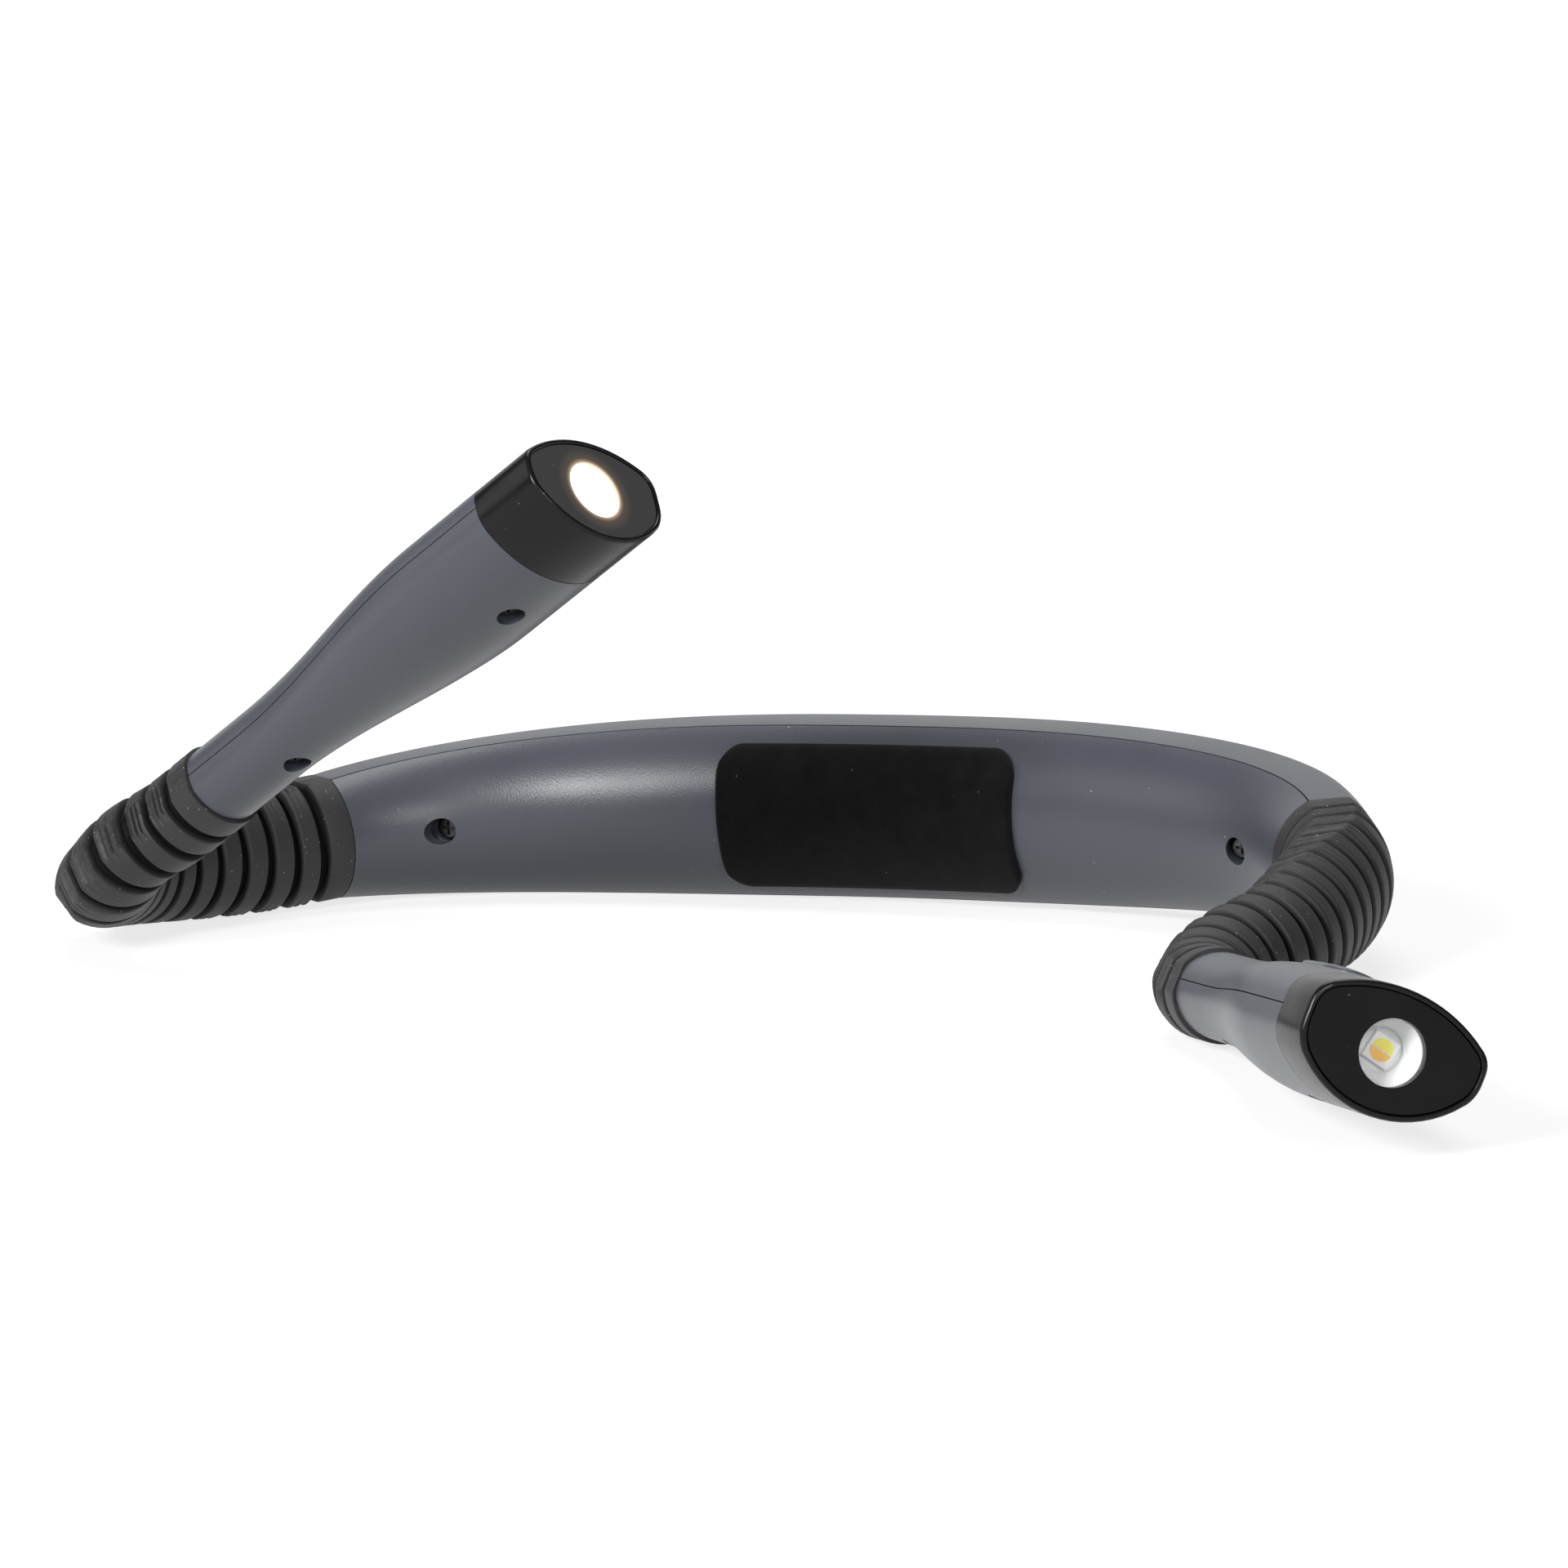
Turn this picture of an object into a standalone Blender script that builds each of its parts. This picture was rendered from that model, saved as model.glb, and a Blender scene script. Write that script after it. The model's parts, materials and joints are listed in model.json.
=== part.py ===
# Neck reading light: a curved neck band with a ribbed, bendable arm and a lamp head at each end.
# Metres, +Z up. The light lies on a table: the band's lower edge left of its middle and both sleeves
# touch it, so the band leans a little towards its open side.

from collections import namedtuple
import math

import bmesh
import bpy
from mathutils import Matrix, Vector

# How the band leans on the table
BAND_PITCH = math.radians(4.54)
BAND_ROLL = math.radians(-1.10)

# Neck band, measured along its curve from the middle
BAND_HALF_LENGTH = 0.0863
BAND_CENTRE_RADIUS = 0.238
BAND_END_TURN = math.radians(59.5)
BAND_LEVEL_HALF = 0.0120
BAND_TAPER_POWER = 2.1
BAND_WALL = 0.0016
BAND_STATIONS = 27

# Cross sections: height, flat strips at top and bottom, bulges of the inner and the outer side
BAND_HEIGHT = 0.0250
BAND_STRIP = 0.0082
BAND_INNER_BULGE = 0.0066
BAND_OUTER_BULGE = 0.0045
BAND_END_HEIGHT = 0.0174
BAND_END_STRIP = 0.0056
BAND_END_INNER_BULGE = 0.0055
BAND_END_OUTER_BULGE = 0.0040
SLEEVE_TIP_HEIGHT = 0.0126
SLEEVE_TIP_STRIP = 0.0036
SLEEVE_TIP_INNER_BULGE = 0.0043
SLEEVE_TIP_OUTER_BULGE = 0.0041
HEAD_NECK_HEIGHT = 0.0118
HEAD_NECK_STRIP = 0.0032
HEAD_NECK_INNER_BULGE = 0.0040
HEAD_NECK_OUTER_BULGE = 0.0038
HEAD_FRONT_HEIGHT = 0.0227
HEAD_FRONT_TOP_STRIP = 0.0062
HEAD_FRONT_BOTTOM_STRIP = 0.0042
HEAD_FRONT_INNER_BULGE = 0.0061
HEAD_FRONT_OUTER_BULGE = 0.0039
Section = namedtuple("Section", "height top bottom inner outer")
BAND_MIDDLE = Section(BAND_HEIGHT, BAND_STRIP, BAND_STRIP, BAND_INNER_BULGE, BAND_OUTER_BULGE)
BAND_END = Section(BAND_END_HEIGHT, BAND_END_STRIP, BAND_END_STRIP, BAND_END_INNER_BULGE, BAND_END_OUTER_BULGE)
SLEEVE_TIP = Section(SLEEVE_TIP_HEIGHT, SLEEVE_TIP_STRIP, SLEEVE_TIP_STRIP, SLEEVE_TIP_INNER_BULGE,
                     SLEEVE_TIP_OUTER_BULGE)
HEAD_NECK = Section(HEAD_NECK_HEIGHT, HEAD_NECK_STRIP, HEAD_NECK_STRIP, HEAD_NECK_INNER_BULGE,
                    HEAD_NECK_OUTER_BULGE)
HEAD_FRONT = Section(HEAD_FRONT_HEIGHT, HEAD_FRONT_TOP_STRIP, HEAD_FRONT_BOTTOM_STRIP, HEAD_FRONT_INNER_BULGE,
                     HEAD_FRONT_OUTER_BULGE)
ARC_STEPS = 7
HOLLOW_STEPS = 5

# Clearances
SEAM = 0.0003
FIT = 0.00025
OVERRUN = 0.0020

# Neck pad
PAD_HALF_LENGTH = 0.0243
PAD_HEIGHT = 0.0200
PAD_CORNER = 0.0030
PAD_THICKNESS = 0.0009

# Battery and charging board
BATTERY_LENGTH = 0.0480
BATTERY_HEIGHT = 0.0160
BATTERY_THICKNESS = 0.0070
BATTERY_ROUNDING = 0.0012
BOARD_PLACE_SHARE = 0.4867
BOARD_LENGTH_SHARE = 0.2781
BOARD_PLACE = BAND_HALF_LENGTH * BOARD_PLACE_SHARE
BOARD_LENGTH = BAND_HALF_LENGTH * BOARD_LENGTH_SHARE
BOARD_HEIGHT = 0.0150
BOARD_THICKNESS = 0.0010
PORT_LENGTH = 0.0089
PORT_THICKNESS = 0.0032
PORT_DEPTH = 0.0073
PORT_MOUTH_SHARE = 0.75
PORT_SHELL = 0.0003
PORT_TONGUE_LENGTH = 0.0066
PORT_TONGUE_THICKNESS = 0.0007
PORT_RECESS = 0.0004

# Screws, with the same pan head everywhere
SCREW_HOLE = 0.0038
SCREW_HEAD = 0.0034
SCREW_HEAD_HEIGHT = 0.0012
SCREW_SHANK = 0.0020
SCREW_PILOT = 0.0026
BAND_SCREW_SHARE = 0.8158
BAND_SCREW_SEAT = 0.0040
BAND_SCREW_LENGTH = 0.0085
BAND_BOSS = 0.0060
BAND_BOSS_FLOOR = 0.0014
BAND_POST = 0.0050

# Ribbed arm sleeves
SLEEVE_LENGTH = 0.0820
SLEEVE_LEAD = 0.0120
SLEEVE_RIBS = 15
SLEEVE_COLLAR = 0.0040
SLEEVE_GROOVE = 0.0013
SLEEVE_GROOVE_DEPTH = 0.0013
SLEEVE_PATH_STEPS = 64
CORE_DIAMETER = 0.0050
CORE_BORE = 0.0024
CORE_CLEARANCE = 0.0004
CORE_SEAT = 0.0050
CORE_STATIONS = 23
FERRULE_LENGTH = 0.0080
CABLE_DIAMETER = 0.0014
CABLE_PITCH = 0.0040

# Lamp heads, measured from the sleeve along the head
HEAD_LENGTH = 0.0796
HEAD_WALL = 0.0013
HEAD_FLARE_START_SHARE = 0.1394
HEAD_FLARE_LENGTH_SHARE = 0.5402
HEAD_STATIONS = 7
CAP_LENGTH = 0.0108
CAP_LIP = 0.0030
CAP_LIP_WALL = 0.0010
CAP_RIM = 0.0007
CAP_EDGE = 0.0004
PLATE_THICKNESS = 0.0016
PLATE_RECESS = 0.0002
WINDOW_DIAMETER = 0.0080
WINDOW_OFFSET = 0.0010
LENS_THICKNESS = 0.0008
LENS_RECESS = 0.0003
CUP_DEPTH = 0.0034
CUP_FLOOR_DIAMETER = 0.0054
CUP_WALL = 0.0007
LED_BOARD_WIDTH = 0.0094
LED_BOARD_HEIGHT = 0.0110
LED_BOARD_THICKNESS = 0.0010
LED_CHIP = 0.0034
LED_CHIP_HEIGHT = 0.0007
HEAD_SCREW_SHARES = (0.1884, 0.7487)
HEAD_SCREW_SEAT = 0.0028
HEAD_SCREW_LENGTH = 0.0048
HEAD_BOSS = 0.0052
HEAD_BOSS_FLOOR = 0.0009
BOSS_ROOT_SHARE = 0.6

# Switch under each head's button
BUTTON_SHARE = 0.6030
BUTTON_LENGTH = 0.0160
BUTTON_WIDTH = 0.0080
BUTTON_RISE = 0.0006
CROWN_SHARES = (1.0, 0.6, 0.2)
BUTTON_FLANGE = 0.0006
BUTTON_FLANGE_THICKNESS = 0.0006
BUTTON_TRAVEL = 0.0005
SWITCH_BOARD_START_SHARE = 0.2764
SWITCH_BOARD_END_SHARE = 0.6910
SWITCH_BOARD_HEIGHT = 0.0070
SWITCH_BOARD_THICKNESS = 0.0008
SWITCH_LENGTH = 0.0060
SWITCH_HEIGHT = 0.0035
SWITCH_THICKNESS = 0.0018
PLUNGER_DIAMETER = 0.0020
PLUNGER_GAP = 0.0002

# Each arm's route and its head's direction: ahead, inwards and up from the band's end.
# The middle route points and the tip are shares of the sleeve's length.
Arm = namedtuple("Arm", "name hand route_shares tip_share heading_share twist")
ARMS = (
    Arm("left", 1, ((0.466, 0.051, 0.027), (0.574, 0.259, 0.056), (0.570, 0.352, 0.132)),
        (0.479, 0.527, 0.243), (-0.313, 0.785, 0.546), math.radians(85)),
    Arm("right", -1, ((0.276, 0.058, -0.005), (0.505, 0.157, -0.012), (0.602, 0.262, -0.009)),
        (0.876, 0.305, -0.001), (0.983, -0.124, 0.135), math.radians(63)),
)
SWING_SHARE = 0.27
TILT_SHARE = 0.76

# Finishes: colour, roughness, metallic
FINISHES = {
    "slate_shell": ((0.085, 0.092, 0.112), 0.42, 0.0),
    "black_silicone": ((0.020, 0.020, 0.021), 0.72, 0.0),
    "black_pad": ((0.006, 0.006, 0.007), 0.92, 0.0),
    "gloss_black": ((0.010, 0.010, 0.011), 0.22, 0.0),
    "clear_lens": ((0.92, 0.93, 0.95), 0.05, 0.0),
    "white_cup": ((0.82, 0.83, 0.85), 0.35, 0.0),
    "white_board": ((0.75, 0.76, 0.76), 0.50, 0.0),
    "led_yellow": ((0.90, 0.70, 0.12), 0.40, 0.0),
    "green_board": ((0.02, 0.12, 0.05), 0.45, 0.0),
    "steel": ((0.45, 0.45, 0.46), 0.35, 1.0),
    "dark_steel": ((0.10, 0.10, 0.11), 0.40, 1.0),
    "cell_wrap": ((0.10, 0.22, 0.50), 0.40, 0.0),
    "black_plastic": ((0.015, 0.015, 0.016), 0.50, 0.0),
    "grey_cable": ((0.09, 0.09, 0.09), 0.60, 0.0),
}


class Frame(namedtuple("Frame", "origin inner top along")):
    """A place with three directions: towards the wearer, up the section, and along the piece."""

    def at(self, inner, top, along=0.0):
        return self.origin + self.inner * inner + self.top * top + self.along * along

    def moved(self, inner=0.0, top=0.0, along=0.0):
        return self._replace(origin=self.at(inner, top, along))


def smoothstep(share):
    share = min(max(share, 0.0), 1.0)
    return share * share * (3.0 - 2.0 * share)


def mix(a, b, share):
    return Section(*(x + (y - x) * share for x, y in zip(a, b)))


def inset(section, depth):
    """The same outline drawn in by a depth all round."""
    return Section(section.height - 2.0 * depth, section.top - depth, section.bottom - depth,
                   section.inner - depth / 2.0, section.outer - depth / 2.0)


def bulge_arc(section, side, steps, trim=0.0):
    """One bowed side of a section from top to bottom, trimmed along the arc at both ends."""
    bulge = section.inner if side > 0 else section.outer
    start = Vector((side * section.top / 2.0, section.height / 2.0))
    end = Vector((side * section.bottom / 2.0, -section.height / 2.0))
    half = (end - start).length / 2.0
    down = (end - start).normalized()
    out = Vector((-down.y, down.x))
    if out.x * side < 0.0:
        out = -out
    radius = (half * half + bulge * bulge) / (2.0 * bulge)
    reach = math.atan2(half, radius - bulge)
    reach -= trim / radius
    centre = (start + end) / 2.0 - out * (radius - bulge)
    turns = [reach * (2.0 * k / steps - 1.0) for k in range(steps + 1)]
    return [centre + (down * math.sin(turn) + out * math.cos(turn)) * radius for turn in turns]


def outline(section, steps=ARC_STEPS):
    """The whole closed outline of a section."""
    return bulge_arc(section, 1, steps) + bulge_arc(section, -1, steps)[::-1]


def screw_side_wall(section, wall):
    """Half shell on the wearer's side: a bowed wall between the two flat strips."""
    hollow = inset(section, wall)
    return bulge_arc(section, 1, ARC_STEPS, SEAM) + bulge_arc(hollow, 1, HOLLOW_STEPS, SEAM)[::-1]


def back_side_wall(section, wall):
    """Half shell on the far side: a bowed wall that also carries the two flat strips."""
    hollow = inset(section, wall)
    corners = [Vector((section.bottom / 2.0, -section.height / 2.0)),
               Vector((hollow.bottom / 2.0, -hollow.height / 2.0))]
    close = [Vector((hollow.top / 2.0, hollow.height / 2.0)),
             Vector((section.top / 2.0, section.height / 2.0))]
    far = bulge_arc(section, -1, ARC_STEPS)
    return far + corners + bulge_arc(hollow, -1, HOLLOW_STEPS)[::-1] + close


def half_wall(section, wall, side, gap):
    """Half shell of a head, split along the middle of both flat strips; side 1 is the wearer's."""
    hollow = inset(section, wall)
    edge = side * gap / 2.0
    outside = [Vector((edge, section.height / 2.0)), *bulge_arc(section, side, ARC_STEPS),
               Vector((edge, -section.height / 2.0))]
    inside = [Vector((edge, hollow.height / 2.0)), *bulge_arc(hollow, side, HOLLOW_STEPS),
              Vector((edge, -hollow.height / 2.0))]
    return outside + inside[::-1]


def circle(radius, sides):
    turns = [2.0 * math.pi * k / sides for k in range(sides)]
    return [Vector((math.cos(turn), math.sin(turn))) * radius for turn in turns]


def rounded(width, height, corner, steps=3):
    """A rectangle with rounded corners."""
    points = []
    for quarter, (x, y) in enumerate(((1, 1), (-1, 1), (-1, -1), (1, -1))):
        centre = Vector((x * (width / 2.0 - corner), y * (height / 2.0 - corner)))
        for k in range(steps + 1):
            turn = math.pi / 2.0 * (quarter + k / steps)
            points.append(centre + Vector((math.cos(turn), math.sin(turn))) * corner)
    return points


def loft(rings, wraps=False):
    """Skin over a row of point rings, closed by end faces, or run round onto its own start."""
    bm = bmesh.new()
    rows = [[bm.verts.new(point) for point in ring] for ring in rings]
    pairs = list(zip(rows, rows[1:]))
    if wraps:
        pairs.append((rows[-1], rows[0]))
    for row, after in pairs:
        for i, vert in enumerate(row):
            j = (i + 1) % len(row)
            bm.faces.new((vert, row[j], after[j], after[i]))
    if not wraps:
        bm.faces.new(rows[0])
        bm.faces.new(rows[-1])
    bmesh.ops.recalc_face_normals(bm, faces=bm.faces)
    return bm


def ring_at(frame, points, along=0.0):
    return [frame.at(point.x, point.y, along) for point in points]


def turned(frame, steps, sides=20):
    """A turned solid: radius by radius along a frame's third direction."""
    return loft([ring_at(frame, circle(radius, sides), along) for along, radius in steps])


def prism(frame, points, start, end):
    return loft([ring_at(frame, points, start), ring_at(frame, points, end)])


def facing(frame, inner, top, along):
    """A frame at the same place with its directions renamed."""
    return Frame(frame.origin, inner, top, along)


def finish(name):
    found = bpy.data.materials.get(name)
    if found:
        return found
    colour, roughness, metallic = FINISHES[name]
    made = bpy.data.materials.new(name)
    made.use_nodes = True
    made.diffuse_color = (*colour, 1.0)
    shader = made.node_tree.nodes["Principled BSDF"]
    shader.inputs["Base Color"].default_value = (*colour, 1.0)
    shader.inputs["Roughness"].default_value = roughness
    shader.inputs["Metallic"].default_value = metallic
    return made


def link(obj, parent, matrix):
    bpy.context.scene.collection.objects.link(obj)
    obj.parent = parent
    obj.matrix_basis = matrix
    return obj


def solid(name, bm, look, parent, matrix=Matrix(), round_limit=math.radians(35)):
    mesh = bpy.data.meshes.new(name)
    bm.to_mesh(mesh)
    bm.free()
    mesh.shade_smooth()
    mesh.set_sharp_from_angle(angle=round_limit)
    mesh.materials.append(finish(look))
    return link(bpy.data.objects.new(name, mesh), parent, matrix)


def guide(name, bm, like):
    """A helper shape that only takes part in Booleans."""
    mesh = bpy.data.meshes.new(name)
    bm.to_mesh(mesh)
    bm.free()
    obj = link(bpy.data.objects.new(name, mesh), like.parent, like.matrix_basis.copy())
    obj.hide_render = True
    obj.display_type = "WIRE"
    return obj


def combine(target, helper, operation):
    modifier = target.modifiers.new(helper.name, "BOOLEAN")
    modifier.operation = operation
    modifier.object = helper
    modifier.solver = "EXACT"


def empty(name, parent, location):
    obj = bpy.data.objects.new(name, None)
    obj.empty_display_size = CAP_LENGTH
    return link(obj, parent, Matrix.Translation(location))


def band_heading(place):
    """How far the band has turned at a distance along it, more and more steeply towards its end."""
    gentle = BAND_HALF_LENGTH / BAND_CENTRE_RADIUS
    share = place / BAND_HALF_LENGTH
    return gentle * share + (BAND_END_TURN - gentle) * share ** 3


def band_frame(place):
    """The band's section frame at a signed distance along its curve."""
    steps = 60
    step = place / steps
    origin = Vector((0.0, 0.0, 0.0))
    for k in range(steps):
        turn = band_heading((k + 0.5) * step)
        origin += Vector((math.cos(turn), -math.sin(turn), 0.0)) * step
    turn = band_heading(place)
    return Frame(origin, Vector((-math.sin(turn), -math.cos(turn), 0.0)), Vector((0.0, 0.0, 1.0)),
                 Vector((math.cos(turn), -math.sin(turn), 0.0)))


def band_section(place):
    share = abs(place) / BAND_HALF_LENGTH
    taper = max(0.0, abs(place) - BAND_LEVEL_HALF) / (BAND_HALF_LENGTH - BAND_LEVEL_HALF)
    section = mix(BAND_MIDDLE, BAND_END, share * share)
    drop = (BAND_MIDDLE.height - BAND_END.height) * taper ** BAND_TAPER_POWER
    return section._replace(height=BAND_MIDDLE.height - drop)


def band_rings(profile, start, end, count):
    """Section rings along a stretch of the band."""
    places = [start + (end - start) * k / (count - 1) for k in range(count)]
    return [ring_at(band_frame(place), profile(band_section(place))) for place in places]


def build_band(lamp):
    whole = (-BAND_HALF_LENGTH, BAND_HALF_LENGTH, BAND_STATIONS)
    inner = solid("neckband_inner_shell",
                  loft(band_rings(lambda section: screw_side_wall(section, BAND_WALL), *whole)),
                  "slate_shell", lamp)
    outer = solid("neckband_outer_shell",
                  loft(band_rings(lambda section: back_side_wall(section, BAND_WALL), *whole)),
                  "slate_shell", lamp)
    for side, name in ((-1, "left"), (1, "right")):
        build_band_screw(lamp, inner, outer, side, name)
    build_pad(lamp)
    build_battery(lamp)
    build_board(lamp, outer)


def build_band_screw(lamp, inner, outer, side, name):
    """A screw through a deep boss of the inner shell into a post of the outer shell."""
    place = side * BAND_HALF_LENGTH * BAND_SCREW_SHARE
    section = band_section(place)
    surface = band_frame(place).moved(inner=section.top / 2.0 + section.inner)
    hole = Frame(surface.origin, Vector((1.0, 0.0, 0.0)), Vector((0.0, 0.0, 1.0)), Vector((0.0, 1.0, 0.0)))
    depth = section.height
    split = BAND_SCREW_SEAT + BAND_BOSS_FLOOR
    reach = BAND_BOSS * 2.5
    hollow = loft(band_rings(lambda at: outline(inset(at, BAND_WALL / 2.0)),
                             place - reach * side, min(abs(place) + reach, BAND_HALF_LENGTH) * side, 7))
    trim = guide(name + "_boss_trim", hollow, inner)
    boss = guide(name + "_boss", turned(hole, ((-depth, BAND_BOSS / 2.0), (split, BAND_BOSS / 2.0))), inner)
    post = guide(name + "_post", turned(hole, ((split + SEAM, BAND_POST / 2.0), (depth * 2.0, BAND_POST / 2.0))),
                 outer)
    combine(boss, trim, "INTERSECT")
    combine(post, trim, "INTERSECT")
    combine(inner, boss, "UNION")
    combine(outer, post, "UNION")
    bore = guide(name + "_bore", turned(hole, (
        (-OVERRUN, SCREW_HOLE / 2.0), (BAND_SCREW_SEAT, SCREW_HOLE / 2.0),
        (BAND_SCREW_SEAT, SCREW_PILOT / 2.0),
        (BAND_SCREW_SEAT + BAND_SCREW_LENGTH + SEAM, SCREW_PILOT / 2.0))), inner)
    combine(inner, bore, "DIFFERENCE")
    combine(outer, bore, "DIFFERENCE")
    solid("neckband_screw_" + name, screw(hole, BAND_SCREW_SEAT, BAND_SCREW_LENGTH), "dark_steel", lamp)


def screw(hole, seat, length):
    """A pan-head screw whose head sits just above the seat in its hole."""
    top = seat - SEAM - SCREW_HEAD_HEIGHT
    return turned(hole, (
        (top, SCREW_HEAD / 2.0 - SCREW_HEAD_HEIGHT / 3.0), (top + SCREW_HEAD_HEIGHT / 3.0, SCREW_HEAD / 2.0),
        (seat - SEAM, SCREW_HEAD / 2.0), (seat - SEAM, SCREW_SHANK / 2.0),
        (seat + length - SCREW_SHANK / 2.0, SCREW_SHANK / 2.0), (seat + length, SCREW_SHANK / 4.0)), sides=12)


def build_pad(lamp):
    """A thin pad with rounded corners that follows the middle of the band's inner face."""
    corner_steps = 4
    straight = PAD_HALF_LENGTH - PAD_CORNER
    corner = [straight + PAD_CORNER * math.sin(math.pi / 2.0 * k / corner_steps) for k in range(corner_steps + 1)]
    middle = [straight * k / 3.0 for k in (-2, -1, 0, 1, 2)]
    places = [-place for place in corner[::-1]] + middle + corner
    rings = []
    for place in places:
        past = max(0.0, abs(place) - straight)
        half = PAD_HEIGHT / 2.0 - PAD_CORNER + math.sqrt(max(0.0, PAD_CORNER ** 2 - past ** 2))
        frame = band_frame(place)
        front = pad_line(band_section(place), half, SEAM + PAD_THICKNESS)
        back = pad_line(band_section(place), half, SEAM)
        rings.append(ring_at(frame, front + back[::-1]))
    solid("neck_pad", loft(rings), "black_pad", lamp)


def pad_line(section, half, lift):
    """Points up the inner face within a half height, lifted off it."""
    chord = section.height / 2.0
    radius = (chord ** 2 + section.inner ** 2) / (2.0 * section.inner)
    centre = section.top / 2.0 + section.inner - radius
    reach = math.asin(half / radius)
    turns = [reach * (2.0 * k / ARC_STEPS - 1.0) for k in range(ARC_STEPS + 1)]
    return [Vector((centre + math.cos(turn) * (radius + lift), math.sin(turn) * (radius + lift)))
            for turn in turns]


def build_battery(lamp):
    """A flat lithium cell lying against the outer shell's inner wall."""
    hollow = inset(band_section(BATTERY_LENGTH / 2.0), BAND_WALL)
    half = hollow.height / 2.0
    radius = (half ** 2 + hollow.outer ** 2) / (2.0 * hollow.outer)
    wall = hollow.top / 2.0 + hollow.outer - radius + math.sqrt(radius ** 2 - (BATTERY_HEIGHT / 2.0) ** 2)
    end = band_frame(BATTERY_LENGTH / 2.0)
    back = end.at(-wall, 0.0).y - SEAM
    cell = Frame(Vector((0.0, back, 0.0)), Vector((1.0, 0.0, 0.0)), Vector((0.0, 0.0, 1.0)),
                 Vector((0.0, -1.0, 0.0)))
    points = rounded(BATTERY_LENGTH, BATTERY_HEIGHT, BATTERY_ROUNDING)
    solid("battery_cell", prism(cell, points, 0.0, BATTERY_THICKNESS), "cell_wrap", lamp)


def board_frame():
    """The charging board's frame: its lower edge just above the band's floor."""
    section = band_section(BOARD_PLACE)
    return band_frame(BOARD_PLACE).moved(top=-section.height / 2.0)


def board_edge():
    """How far the board's lower edge lies above the bottom strip, clear of the rising floor at its far end."""
    rise = (band_section(BOARD_PLACE).height - band_section(BOARD_PLACE + BOARD_LENGTH / 2.0).height) / 2.0
    return BAND_WALL + rise + SEAM


def build_board(lamp, outer):
    """The charging board on edge, with its port facing down through the bottom strip."""
    floor = board_frame()
    across = facing(floor, floor.along, floor.top, floor.inner)
    edge = board_edge()
    board = across.moved(top=edge + BOARD_HEIGHT / 2.0, along=PORT_THICKNESS / 2.0 + SEAM)
    solid("charging_board", prism(board, rounded(BOARD_LENGTH, BOARD_HEIGHT, BOARD_THICKNESS), 0.0,
                                  BOARD_THICKNESS), "green_board", lamp)
    upright = facing(floor, floor.along, floor.inner, floor.top)
    corner = PORT_THICKNESS / 2.0 - PORT_SHELL
    body = solid("usb_c_port", prism(upright, rounded(PORT_LENGTH, PORT_THICKNESS, corner),
                                     PORT_RECESS, PORT_RECESS + PORT_DEPTH), "steel", lamp)
    depth = PORT_DEPTH * PORT_MOUTH_SHARE
    mouth = guide("port_mouth", prism(upright, rounded(
        PORT_LENGTH - 2.0 * PORT_SHELL, PORT_THICKNESS - 2.0 * PORT_SHELL, corner - PORT_SHELL),
        -OVERRUN, PORT_RECESS + depth), body)
    tongue = guide("port_tongue", prism(upright, rounded(
        PORT_TONGUE_LENGTH, PORT_TONGUE_THICKNESS, PORT_TONGUE_THICKNESS / 4.0, 1),
        PORT_RECESS * 2.0, PORT_RECESS + depth + PORT_SHELL), body)
    combine(body, mouth, "DIFFERENCE")
    combine(body, tongue, "UNION")
    slot = guide("port_slot", prism(upright, rounded(
        PORT_LENGTH + 2.0 * FIT, PORT_THICKNESS + 2.0 * FIT, corner + FIT), -OVERRUN, BAND_WALL + OVERRUN), outer)
    combine(outer, slot, "DIFFERENCE")


def spline_points(controls, steps=16):
    """A uniform cubic B-spline that starts and ends on its first and last points."""
    held = [controls[0]] * 2 + list(controls) + [controls[-1]] * 2
    points = []
    for a, b, c, d in zip(held, held[1:], held[2:], held[3:]):
        for k in range(steps):
            t = k / steps
            points.append((a * (1.0 - t) ** 3 + b * (3.0 * t ** 3 - 6.0 * t ** 2 + 4.0)
                           + c * (-3.0 * t ** 3 + 3.0 * t ** 2 + 3.0 * t + 1.0) + d * t ** 3) / 6.0)
    return points + [held[-1]]


def distances(points):
    """Running length at each point of a path."""
    lengths = [0.0]
    for a, b in zip(points, points[1:]):
        lengths.append(lengths[-1] + (b - a).length)
    return lengths


def point_along(points, lengths, distance):
    for a, b, start, end in zip(points, points[1:], lengths, lengths[1:]):
        if distance <= end and end > start:
            return a.lerp(b, max(0.0, (distance - start) / (end - start)))
    return points[-1].copy()


def even(points, count):
    lengths = distances(points)
    return [point_along(points, lengths, lengths[-1] * k / (count - 1)) for k in range(count)]


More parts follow.
